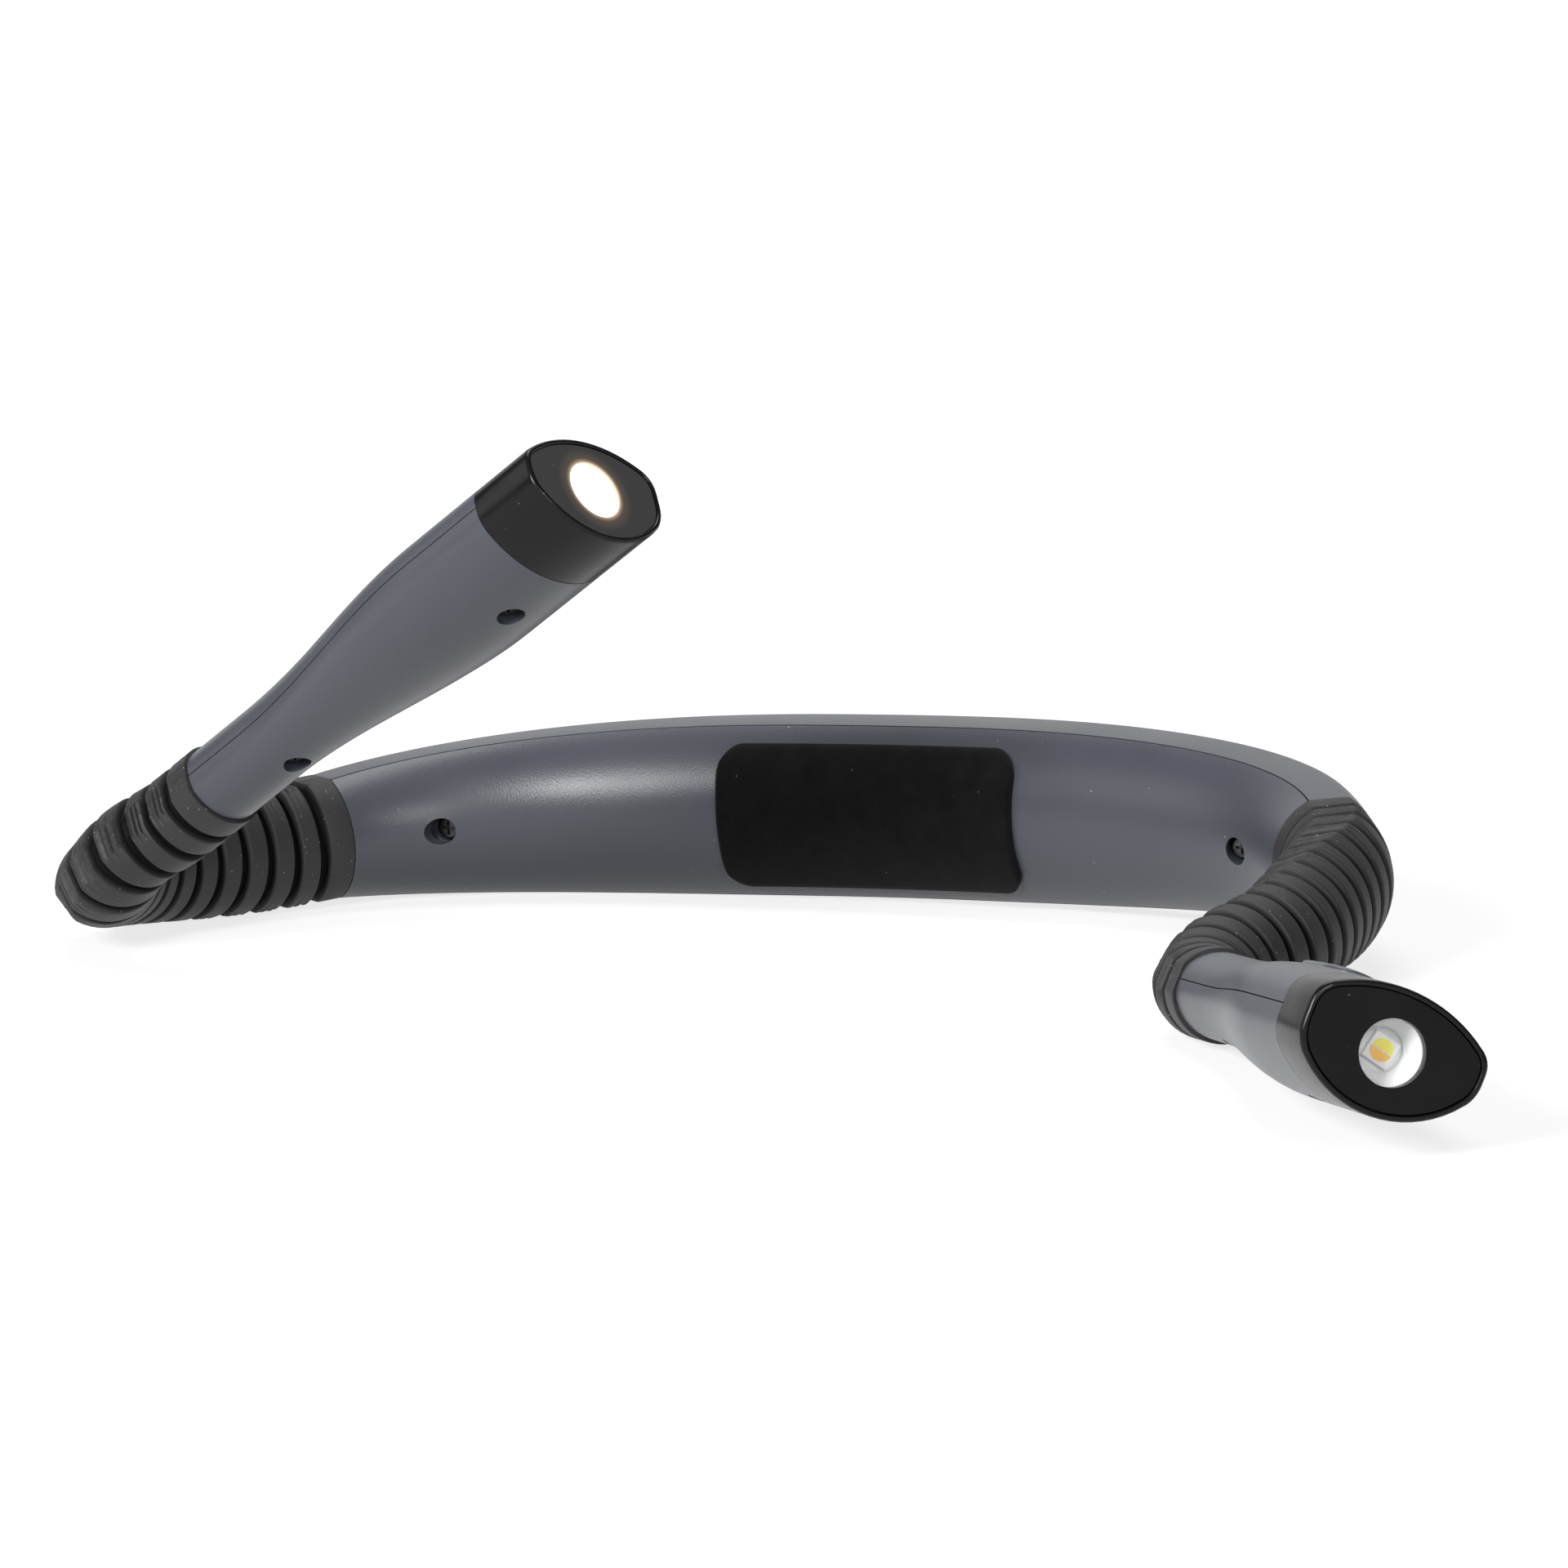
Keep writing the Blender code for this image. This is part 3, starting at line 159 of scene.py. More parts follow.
def softbox(name, place, aim, size, power):
    """A square area lamp that looks at a point."""
    lamp = bpy.data.lights.new(name, "AREA")
    lamp.shape = "RECTANGLE"
    lamp.size, lamp.size_y = size
    lamp.energy = power
    lamp_object = bpy.data.objects.new(name, lamp)
    bpy.context.scene.collection.objects.link(lamp_object)
    lamp_object.location = place
    lamp_object.rotation_euler = (Vector(aim) - Vector(place)).to_track_quat("-Z", "Y").to_euler()


deselect_all()
bpy.ops.mesh.primitive_plane_add(size=4.0)
table = bpy.context.object
table.name = "table"
bpy.ops.object.mode_set(mode="EDIT")
pick(table, "EDGE", lambda edge: all(vert.co.y > 1.9 for vert in edge.verts))
bpy.ops.mesh.extrude_edges_move(TRANSFORM_OT_translate={"value": (0.0, 0.0, 2.0)})
pick(table, "EDGE", lambda edge: all(vert.co.y > 1.9 and vert.co.z < 0.1 for vert in edge.verts))
bpy.ops.mesh.bevel(offset=0.8, segments=24)
bpy.ops.object.mode_set(mode="OBJECT")
bpy.ops.object.shade_smooth()
table.rotation_euler = (0.0, 0.0, math.radians(26.0))
bpy.ops.object.transform_apply()

white_sweep, tree, shader = new_material("white_sweep")
away = maths(tree, "LENGTH", object_coords(tree), kind="VectorMath")
ray = tree.nodes.new("ShaderNodeLightPath").outputs
mirrored = maths(tree, "MULTIPLY_ADD", ray["Is Glossy Ray"], 0.85, ray["Is Transmission Ray"])
fade = mapped(tree, away, 0.20, 0.60, 0.76, 1.0)
glow = maths(tree, "MULTIPLY_ADD", ray["Is Camera Ray"], fade, mirrored)
feed_all(shader, Base_Color=grey(0.30), Roughness=0.9, Specular_IOR_Level=0.1,
         Emission_Color=grey(1.0), Emission_Strength=glow)
table.data.materials.append(white_sweep)

sky = bpy.data.worlds.new("studio_sky")
sky.use_nodes = True
feed_all(sky.node_tree.nodes["Background"], Color=grey(1.0), Strength=0.10)
bpy.context.scene.world = sky

softbox("overhead_softbox", (-0.10, 0.30, 0.95), (0.0, 0.02, 0.02), (0.60, 0.45), 5.0)
softbox("front_softbox", (-0.14, -0.98, 0.49), (-0.04, 0.0, 0.02), (0.34, 0.30), 14.0)
softbox("left_panel", (-0.95, -0.45, 0.45), (0.0, 0.0, 0.02), (0.50, 0.60), 1.6)
softbox("right_panel", (0.80, -0.80, 0.40), (0.0, 0.0, 0.02), (0.40, 0.30), 4.2)


# Neck band
# Two injection-moulded halves in slate grey plastic with a fine spark texture, screwed together
# from the wearer's side. The seam runs along the corner between the flat strips and the inner half.

Section = namedtuple("Section", "height top bottom inner outer")
Place = namedtuple("Place", "origin inner top along")
ScrewFit = namedtuple("ScrewFit", "seat length boss_start boss_end boss_radius shaft_end")

band_half_length = 0.0863
band_level_half = 0.0120
band_middle_radius = 0.238
band_end_turn = math.radians(59.5)
band_middle = Section(0.0250, 0.0082, 0.0082, 0.0066, 0.0045)
band_end = Section(0.0174, 0.0056, 0.0056, 0.0055, 0.0040)
band_wall = 0.0016
strip_edge = 0.0008
seam = 0.0003
seam_gap = 0.00014
seam_edge = 0.0001
hairline = 0.00006
screw_hole_radius = 0.0019
shaft_hole_radius = 0.0013
cutter_ahead = 0.0040
cutter_overlap = 0.0010
band_screw_stop = 0.0704
band_fit = ScrewFit(0.0040, 0.0085, 0.0022, 0.0054, 0.0028, 0.0070)
port_stop = 0.0420
port_half_width = 0.00185
port_half_straight = 0.00285
port_reach = 0.0030


def eased_share(share):
    share = min(max(share, 0.0), 1.0)
    return share * share * (3.0 - 2.0 * share)


def between(a, b, share):
    return Section(*(x + (y - x) * share for x, y in zip(a, b)))


def drawn_in(section, depth):
    """The same section drawn in by a depth all round."""
    return Section(section.height - 2.0 * depth, section.top - depth, section.bottom - depth,
                   section.inner - depth / 2.0, section.outer - depth / 2.0)


def corner_of(section, side, upper):
    """A corner of a section; side is 1 towards the wearer and -1 away from them."""
    width = section.top if upper else section.bottom
    return Vector((side * width / 2.0, section.height / 2.0 if upper else -section.height / 2.0))


def side_reach(section, side):
    """How far a bowed side reaches from the section's middle."""
    return (section.top + section.bottom) / 4.0 + (section.inner if side > 0 else section.outer)


def bow(section, side, steps=18, trim=0.0):
    """One bowed side of a section, from its top corner to its bottom corner."""
    bulge = section.inner if side > 0 else section.outer
    start, end = corner_of(section, side, True), corner_of(section, side, False)
    half = (end - start).length / 2.0
    down = (end - start).normalized()
    out = Vector((-down.y, down.x))
    if out.x * side < 0.0:
        out = -out
    radius = (half * half + bulge * bulge) / (2.0 * bulge)
    reach = math.atan2(half, radius - bulge) - trim / radius
    centre = (start + end) / 2.0 - out * (radius - bulge)
    turns = [reach * (2.0 * k / steps - 1.0) for k in range(steps + 1)]
    return [centre + (down * math.sin(turn) + out * math.cos(turn)) * radius for turn in turns]


def soft_corner(start, corner, end, steps=5):
    """A small round from start to end in place of a corner."""
    shares = [k / steps for k in range(steps + 1)]
    return [start * (1.0 - t) ** 2 + corner * 2.0 * t * (1.0 - t) + end * t * t for t in shares]


def softened(points, corners):
    """The outline with a small round in place of each listed corner."""
    soft = []
    for i, point in enumerate(points):
        if i not in corners:
            soft.append(point)
            continue
        before = points[i - 1] - point
        after = points[(i + 1) % len(points)] - point
        start = point + before.normalized() * min(corners[i], before.length / 2.0)
        end = point + after.normalized() * min(corners[i], after.length / 2.0)
        soft += soft_corner(start, point, end, 4)
    return soft


def wearer_wall(section):
    """The half on the wearer's side: a bowed wall between the two flat strips."""
    inside = bow(drawn_in(section, band_wall), 1, 10, seam_gap)[::-1]
    return softened(bow(section, 1, trim=seam_gap) + inside, {0: seam_edge, 18: seam_edge})


def far_wall(section):
    """The half on the far side: a bowed wall that also carries the flat strips."""
    hollow = drawn_in(section, band_wall)
    low = [corner_of(section, 1, False), corner_of(hollow, 1, False)]
    high = [corner_of(hollow, 1, True), corner_of(section, 1, True)]
    points = bow(section, -1) + low + bow(hollow, -1, 10)[::-1] + high
    return softened(points, {0: strip_edge, 18: strip_edge, 19: seam_edge, len(points) - 1: seam_edge})


def band_turn(place):
    """The band's turn at a signed distance from its middle, growing faster towards its ends."""
    gentle = band_half_length / band_middle_radius
    share = place / band_half_length
    return gentle * share + (band_end_turn - gentle) * share ** 3


def band_place(place):
    """The band's own place and directions at a signed distance along its curve, on the table."""
    origin = Vector()
    for k in range(60):
        turn = band_turn((k + 0.5) * place / 60.0)
        origin += Vector((math.cos(turn), -math.sin(turn), 0.0)) * place / 60.0
    turn = band_turn(place)
    inner, top, along = [lie_turn @ Vector(way) for way in (
        (-math.sin(turn), -math.cos(turn), 0.0), (0.0, 0.0, 1.0), (math.cos(turn), -math.sin(turn), 0.0))]
    return Place(lie @ origin, inner, top, along)


def band_section(place):
    share = abs(place) / band_half_length
    taper = max(0.0, abs(place) - band_level_half) / (band_half_length - band_level_half)
    height = band_middle.height - (band_middle.height - band_end.height) * taper ** 2.1
    return between(band_middle, band_end, share * share)._replace(height=height)


def at(place, inner=0.0, top=0.0, along=0.0):
    return place.origin + place.inner * inner + place.top * top + place.along * along


def ring(place, points, along=0.0):
    return [at(place, point.x, point.y, along) for point in points]


def circle(radius, sides):
    turns = [math.tau * k / sides for k in range(sides)]
    return [Vector((math.cos(turn), math.sin(turn))) * radius for turn in turns]


def skin(name, rings, wraps=False):
    """A closed skin over a row of point rings."""
    mesh = bmesh.new()
    rows = [[mesh.verts.new(point) for point in points] for points in rings]
    pairs = list(zip(rows, rows[1:]))
    if wraps:
        pairs.append((rows[-1], rows[0]))
    for row, after in pairs:
        for i, vert in enumerate(row):
            j = (i + 1) % len(row)
            mesh.faces.new((vert, row[j], after[j], after[i]))
    if not wraps:
        mesh.faces.new(rows[0])
        mesh.faces.new(rows[-1])
    bmesh.ops.recalc_face_normals(mesh, faces=mesh.faces)
    if mesh.calc_volume(signed=True) < 0.0:
        bmesh.ops.reverse_faces(mesh, faces=mesh.faces)
    data = bpy.data.meshes.new(name)
    mesh.to_mesh(data)
    mesh.free()
    piece = bpy.data.objects.new(name, data)
    bpy.context.scene.collection.objects.link(piece)
    return piece


def choose(piece):
    """Select one piece alone."""
    deselect_all()
    piece.select_set(True)
    bpy.context.view_layer.objects.active = piece


def smooth(piece, limit=32.0):
    choose(piece)
    bpy.ops.object.shade_smooth_by_angle(angle=math.radians(limit))
    return piece


def join_or_cut(piece, tool, operation):
    """Unite a piece with a tool shape or cut it out, and take the tool away."""
    choose(piece)
    modifier = piece.modifiers.new("shape", "BOOLEAN")
    modifier.operation = operation
    modifier.object = tool
    modifier.solver = "EXACT"
    bpy.ops.object.modifier_apply(modifier=modifier.name)
    bpy.data.objects.remove(tool)


def rod(start, end, radius, sides=40):
    """A round bar between two points."""
    way = end - start
    deselect_all()
    bpy.ops.mesh.primitive_cylinder_add(vertices=sides, radius=radius, depth=way.length,
                                        location=(start + end) / 2.0,
                                        rotation=way.to_track_quat("Z", "Y").to_euler())
    return bpy.context.object


def screw_hole(shell, face, into, fit):
    """A boss behind the wall, with a hole for the screw's head and a narrower one for its shaft."""
    boss = rod(face + into * fit.boss_start, face + into * fit.boss_end, fit.boss_radius)
    join_or_cut(shell, boss, "UNION")
    head = rod(face - into * cutter_ahead, face + into * fit.seat, screw_hole_radius, 56)
    join_or_cut(shell, head, "DIFFERENCE")
    shaft = rod(face + into * (fit.seat - cutter_overlap), face + into * fit.shaft_end, shaft_hole_radius)
    join_or_cut(shell, shaft, "DIFFERENCE")


def stadium(half_width, half_straight):
    """A round-ended outline: two straight sides and two half circles."""
    points = []
    for k in range(96):
        turn = math.tau * (k + 0.5) / 96
        end = half_straight if math.sin(turn) > 0.0 else -half_straight
        points.append(Vector((math.cos(turn) * half_width, math.sin(turn) * half_width + end)))
    return points


def slot_cutter(centre, across, along, out, half_width, half_straight, reach):
    """A round-ended bar through a wall, to cut a slot with."""
    outline = stadium(half_width, half_straight)
    return skin("slot", [[centre + across * point.x + along * point.y + out * rise for point in outline]
                         for rise in (-reach, reach)])


def noise(tree, scale, detail=2.0, roughness=0.5, along=None):
    """A noise texture over the piece's own coordinates, or over one value where it is given."""
    node = tree.nodes.new("ShaderNodeTexNoise")
    if along:
        node.noise_dimensions = "1D"
        feed_all(node, W=along)
    else:
        feed_all(node, Vector=object_coords(tree))
    feed_all(node, Scale=scale, Detail=detail, Roughness=roughness)
    return node.outputs["Fac"]


def ramp(tree, factor, *stops):
    """A colour for each factor, from stops of a position and a colour: both ends, then those between."""
    node = tree.nodes.new("ShaderNodeValToRGB")
    marks = node.color_ramp.elements
    for k, (position, *colour) in enumerate(stops):
        mark = marks[k] if k < 2 else marks.new(position)
        mark.position = position
        mark.color = (*colour, 1.0)
    feed_all(node, Fac=factor)
    return node.outputs["Color"]


def mixed(tree, share, a, b):
    """Colour a, with a share of colour b in it."""
    node = tree.nodes.new("ShaderNodeMix")
    node.data_type = "RGBA"
    feed_all(node, Factor=share, A=a, B=b)
    return node.outputs["Result"]


def bump(tree, height, strength, distance, under=None):
    """A bumped normal, over a coarser bump where one is given."""
    node = tree.nodes.new("ShaderNodeBump")
    feed_all(node, Height=height, Strength=strength, Distance=distance)
    if under:
        feed_all(node, Normal=under)
    return node.outputs["Normal"]


def dust_specks(tree, scale, size, rarity):
    """Sparse specks of dust: 1 on a speck, 0 elsewhere. Their size is a share of a cell."""
    cells = tree.nodes.new("ShaderNodeTexVoronoi")
    feed_all(cells, Vector=object_coords(tree), Scale=scale)
    parts = tree.nodes.new("ShaderNodeSeparateColor")
    feed_all(parts, Color=cells.outputs["Color"])
    speck = mapped(tree, cells.outputs["Distance"], size, size * 0.3, 0.0, 1.0)
    return maths(tree, "MULTIPLY", speck, maths(tree, "GREATER_THAN", parts.outputs["Red"], rarity))


def slate_plastic():
    """Slate grey moulded plastic: fine spark texture, faint clouding in colour and gloss."""
    material, tree, shader = new_material("slate_plastic")
    clouds = noise(tree, 38.0, 4.0)
    tint = ramp(tree, clouds, (0.3, 0.052, 0.056, 0.070), (0.75, 0.059, 0.063, 0.079))
    feed_all(shader, Base_Color=mixed(tree, dust_specks(tree, 420.0, 0.055, 0.90), tint, grey(0.45)),
             Roughness=mapped(tree, clouds, 0.3, 0.7, 0.32, 0.40),
             Normal=bump(tree, noise(tree, 3600.0, 2.0, 0.6), 0.6, 0.00005))
    return material


def dress(piece, material, body, slot, *stands_for):
    """Give a finished piece its material and its body, and hide the solids that it stands for."""
    piece.data.materials.clear()
    piece.data.materials.append(material)
    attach(piece, body)
    if stands_for:
        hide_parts(*stands_for)


def band_screw_face(side):
    """The middle of a screw's hole on the band's inner face, and the way down the hole."""
    stop = side * band_screw_stop
    return at(band_place(stop), side_reach(band_section(stop), 1)), lie_turn @ Vector((0.0, 1.0, 0.0))


slate = slate_plastic()
band_stops = [-band_half_length + 2.0 * band_half_length * k / 120 for k in range(121)]
inner_half, outer_half = [
    skin(name, [ring(band_place(stop), wall(band_section(stop))) for stop in band_stops])
    for name, wall in (("neckband_inner_half", wearer_wall), ("neckband_outer_half", far_wall))]

for side in (-1, 1):
    screw_hole(inner_half, *band_screw_face(side), band_fit)

# The port's slot in the lower strip
port = band_place(port_stop)
port_floor = at(port, top=-band_section(port_stop).height / 2.0)
port_slot = slot_cutter(port_floor, port.inner, port.along, port.top,
                        port_half_width, port_half_straight, port_reach)
join_or_cut(outer_half, port_slot, "DIFFERENCE")

dress(smooth(inner_half, 24.0), slate, "neckband", "slate_shell", "neckband_inner_shell")
dress(smooth(outer_half, 24.0), slate, "neckband", "slate_shell", "neckband_outer_shell")


# Neck pad
# A thin black pad with a velvety flocked face, glued to the middle of the band's inner side.
# Its corners are round and its edge is pressed down.

pad_half_length = 0.0243
pad_half_height = 0.0100
pad_corner = 0.0039
pad_thickness = 0.0009
pad_rim = 0.0005
pad_rim_share = 0.45


def flocked_black():
    """Black flock: no gloss, a little sheen, sparse specks of dust."""
    material, tree, shader = new_material("flocked_black")
    nap = ramp(tree, noise(tree, 260.0, 6.0, 0.65),
               (0.35, 0.0010, 0.0010, 0.0011), (0.75, 0.0052, 0.0052, 0.0054))
    feed_all(shader, Base_Color=mixed(tree, dust_specks(tree, 500.0, 0.07, 0.75), nap, grey(0.14)),
             Roughness=0.95, Specular_IOR_Level=0.15, Sheen_Weight=0.06, Sheen_Roughness=0.5,
             Normal=bump(tree, noise(tree, 5200.0), 0.6, 0.0001))
    return material


def rim_height(inwards):
    """The pad's share of its full height at a distance inwards from its edge."""
    return pad_rim_share + (1.0 - pad_rim_share) * math.sqrt(max(0.0, min(1.0, inwards / pad_rim)))


def pad_ring(stop, half, lift):
    """One slice of the pad: up its front face and down its back, following the band's bow."""
    section = band_section(stop)
    chord = section.height / 2.0
    radius = (chord ** 2 + section.inner ** 2) / (2.0 * section.inner)
    centre = section.top / 2.0 + section.inner - radius
    reach = math.asin(half / radius)
    points = []
    for full, order in ((lift, 1), (seam, -1)):
        for k in range(33)[::order]:
            turn = reach * (k / 16.0 - 1.0)
            rise = radius + seam + (full - seam) * rim_height((1.0 - abs(k / 16.0 - 1.0)) * half)
            points.append(Vector((centre + math.cos(turn) * rise, math.sin(turn) * rise)))
    return ring(band_place(stop), points)


pad_rings = []
straight = pad_half_length - pad_corner
for k in range(-60, 61):
    stop = pad_half_length * math.sin(math.pi / 2.0 * k / 60.0)
    past = max(0.0, abs(stop) - straight)
    half = pad_half_height - pad_corner + math.sqrt(max(0.0, pad_corner ** 2 - past ** 2))
    pad_rings.append(pad_ring(stop, half, seam + pad_thickness * rim_height(pad_half_length - abs(stop))))
pad = smooth(skin("neck_pad_flocked", pad_rings), 50.0)
dress(pad, flocked_black(), "neckband", "black_pad", "neck_pad")


# Screws
# Small black pan-head screws with a cross recess, sunk in their holes. Two hold the band's halves
# together and two those of each head.

screw_head_radius = 0.0017
screw_head_height = 0.0012
screw_head_round = 0.0004
screw_shaft_radius = 0.0010
screw_point = 0.0006
screw_point_share = 0.35
cross_recess = (0.0019, 0.0004, 0.0011)


def screw_black():
    """Blackened steel, its tone varying a little from place to place."""
    material, tree, shader = new_material("screw_black")
    tone = ramp(tree, noise(tree, 1400.0), (0.0, 0.035, 0.035, 0.037), (1.0, 0.11, 0.11, 0.115))
    feed_all(shader, Base_Color=tone, Metallic=1.0, Roughness=0.42)
    return material


def pan_head_screw(name, face, into, fit):
    """A screw with its head just above the seat of its hole; into points down the hole."""
    deselect_all()
    bpy.ops.mesh.primitive_cylinder_add(vertices=40, radius=screw_head_radius, depth=screw_head_height)
    screw = bpy.context.object
    screw.name = name
    bpy.ops.object.mode_set(mode="EDIT")
    pick(screw, "FACE", lambda part: part.normal.z > 0.9)
    bpy.ops.mesh.bevel(offset=screw_head_round, segments=4)
    pick(screw, "FACE", lambda part: part.normal.z < -0.9)
    bpy.ops.mesh.inset(thickness=screw_head_radius - screw_shaft_radius, depth=0.0)
    for step in (fit.length - screw_point, screw_point):
        bpy.ops.mesh.extrude_region_move(TRANSFORM_OT_translate={"value": (0.0, 0.0, -step)})
    bpy.ops.transform.resize(value=(screw_point_share, screw_point_share, 1.0))
    bpy.ops.object.mode_set(mode="OBJECT")
    for turn in (0.0, math.pi / 2.0):
        bpy.ops.mesh.primitive_cube_add(size=1.0, location=(0.0, 0.0, screw_head_height / 2.0),
                                        rotation=(0.0, 0.0, turn))
        bar = bpy.context.object
        bar.scale = cross_recess
        join_or_cut(screw, bar, "DIFFERENCE")
    turn = (-into).to_track_quat("Z", "Y").to_matrix().to_4x4()
    middle = face + into * (fit.seat - seam - screw_head_height / 2.0)
    screw.data.transform(Matrix.Translation(middle) @ turn)
    return smooth(screw, 35.0)


screw_finish = screw_black()
for side, name in ((-1, "left"), (1, "right")):
    screw = pan_head_screw("band_screw_" + name, *band_screw_face(side), band_fit)
    dress(screw, screw_finish, "neckband", "dark_steel", "neckband_screw_" + name)


# Arm sleeves
# Soft black silicone, moulded in one piece with fifteen flat-topped ribs between two plain collars.
# The surface is matt and picks up dust. A bendable metal tube inside it holds the arm's shape.

Arm = namedtuple("Arm", "name hand route tip heading twist")
arms = (
    Arm("left", 1, ((0.466, 0.051, 0.027), (0.574, 0.259, 0.056), (0.570, 0.352, 0.132)),
        (0.479, 0.527, 0.243), (-0.313, 0.785, 0.546), math.radians(85)),
    Arm("right", -1, ((0.276, 0.058, -0.005), (0.505, 0.157, -0.012), (0.602, 0.262, -0.009)),
        (0.876, 0.305, -0.001), (0.983, -0.124, 0.135), math.radians(63)),
)
line_steps = 64
blend_margin = 0.0040
blend_middle = 0.47
sleeve_span = 0.0820
sleeve_lead = 0.0120
sleeve_ribs = 15
sleeve_collar = 0.0040
sleeve_bore = 0.0029
sleeve_tip = Section(0.0126, 0.0036, 0.0036, 0.0043, 0.0041)
groove = 0.0015
groove_depth = 0.0013
groove_fillet = 0.0002
groove_lean = 0.00008
groove_floor = 0.0003
shaded_groove_depth = 0.0007
rib_round = 0.00036
rib_corner = 0.0004
end_round = 0.00015
fin_half_width = 0.00014
fin_rise = 0.00006
crease_depth = 0.00034
crease_rates = (5900.0, 13100.0)


def even_points(points, count):
    """Points at even distances along a path, and the path's length."""
    lengths = [0.0]
    for a, b in zip(points, points[1:]):
        lengths.append(lengths[-1] + (b - a).length)
    found = []
    k = 0
    for step in range(count):
        goal = lengths[-1] * step / (count - 1)
        while k < len(points) - 2 and lengths[k + 1] < goal:
            k += 1
        share = (goal - lengths[k]) / max(lengths[k + 1] - lengths[k], 1e-9)
        found.append(points[k].lerp(points[k + 1], min(max(share, 0.0), 1.0)))
    return found, lengths[-1]


class SleeveLine:
    """The arm's middle line from the band's end to the lamp head, with its twist."""

    def __init__(self, arm):
        self.name, self.hand = arm.name, arm.hand
        end = band_place(-arm.hand * band_half_length)
        self.root = end._replace(along=end.along * -arm.hand)
        toward = self.way(arm.heading).normalized()
        tip = self.root.origin + self.way(arm.tip) * sleeve_span
        leads = [self.root.origin + self.root.along * sleeve_lead * share for share in (0.0, 0.5, 1.0)]
        tails = [tip - toward * sleeve_lead * share for share in (1.0, 0.5, 0.0)]
        controls = leads + [self.root.origin + self.way(share) * sleeve_span for share in arm.route] + tails
        held = [controls[0]] * 2 + controls + [controls[-1]] * 2
        points = []
        for a, b, c, d in zip(held, held[1:], held[2:], held[3:]):
            for k in range(16):
                t = k / 16
                points.append((a * (1.0 - t) ** 3 + b * (3.0 * t ** 3 - 6.0 * t ** 2 + 4.0)
                               + c * (-3.0 * t ** 3 + 3.0 * t ** 2 + 3.0 * t + 1.0) + d * t ** 3) / 6.0)
        points.append(controls[-1])
        self.points, self.length = even_points(points, line_steps + 1)
        self.places = []
        top = self.root.top.copy()
        last = self.root.along
        for k, point in enumerate(self.points):
            along = (self.points[min(line_steps, k + 1)] - self.points[max(0, k - 1)]).normalized()
            top = last.rotation_difference(along) @ top
            top = (top - along * top.dot(along)).normalized()
            inner = top.cross(along) * arm.hand
            twist = arm.twist * eased_share(k / line_steps)
            turned = top * math.cos(twist) + inner * math.sin(twist)
            self.places.append(Place(point, turned.cross(along) * arm.hand, turned, along))
            last = along
        self.tip = self.place(self.length)

    def way(self, shares):
        ahead, inwards, up = shares
        return self.root.along * ahead + self.root.inner * inwards + self.root.top * up

    def section(self, distance):
        return between(band_end, sleeve_tip, eased_share(distance / self.length))

    def place(self, distance):
        """Place and directions at a distance along the sleeve, straight on past either end."""
        share = min(max(distance / self.length, 0.0), 1.0) * line_steps
        k = min(int(share), line_steps - 1)
        a, b = self.places[k], self.places[k + 1]
        along = a.along.lerp(b.along, share - k).normalized()
        top = a.top.lerp(b.top, share - k)
        top = (top - along * top.dot(along)).normalized()
        origin = a.origin.lerp(b.origin, share - k)
        past = distance - min(max(distance, 0.0), self.length)
        return Place(origin + along * past, top.cross(along) * self.hand, top, along)


def half_outline(section, side, high, low):
    """One bowed side with its two rounded corners, from the upper strip to the lower one."""
    top, bottom = corner_of(section, side, True), corner_of(section, side, False)
    first, last = bow(section, side, trim=high)[0], bow(section, side, trim=low)[-1]
    span = bow(section, side, trim=max(high, low))
    return (soft_corner(top - Vector((side * high, 0.0)), top, first) + span[1:-1]
            + soft_corner(last, bottom, bottom - Vector((side * low, 0.0))))


def strip_share(point, section):
    """1 on the sleeve's two narrow strips, fading to 0 down its bowed sides."""
    return abs(2.0 * point.y / section.height) ** 8


def finned_outline(section, rise, crease):
    """The sleeve's outline, pinched in on its strips, where the mould left a fine parting ridge."""
    edge = section.height / 2.0
    fin = [Vector((-fin_half_width, edge)), Vector((0.0, edge + rise)), Vector((fin_half_width, edge))]
    points = half_outline(section, 1, rib_corner, rib_corner) + [-point for point in fin]
    points += half_outline(section, -1, rib_corner, rib_corner)[::-1] + fin
    return [Vector((point.x, point.y * (1.0 - crease * strip_share(point, section) / edge)))
            for point in points]


def rib_steps(length):
    """Distances and depths along the sleeve, with soft rib edges, and where its middle groove is."""
    start, end = hairline, length - hairline
    rib = (end - start - 2.0 * sleeve_collar - (sleeve_ribs + 1) * groove) / sleeve_ribs
    edge = ((-rib_round, 0.0), (-rib_round * 0.35, rib_round * 0.25), (0.0, rib_round),
            (groove_lean, groove_depth - groove_fillet), (groove_floor, groove_depth))
    steps = [(start, end_round), (start + 0.0001, 0.0)]
    place = start + sleeve_collar
    split = 0
    for k in range(sleeve_ribs + 1):
        steps += [(place + way, depth) for way, depth in edge]
        if k == sleeve_ribs // 2:
            split = len(steps)
            steps.append((place + groove / 2.0, groove_depth))
        place += groove
        steps += [(place - way, depth) for way, depth in edge[::-1]]
        if k < sleeve_ribs:
            steps += [(place + rib * share / 16.0, 0.0) for share in range(2, 15)]
        place += rib
    steps += [(end - 0.0001, 0.0), (end, end_round)]
    return steps, split


def attribute(tree, name):
    """A value that the piece's points carry."""
    node = tree.nodes.new("ShaderNodeAttribute")
    node.attribute_name = name
    return node.outputs["Fac"]


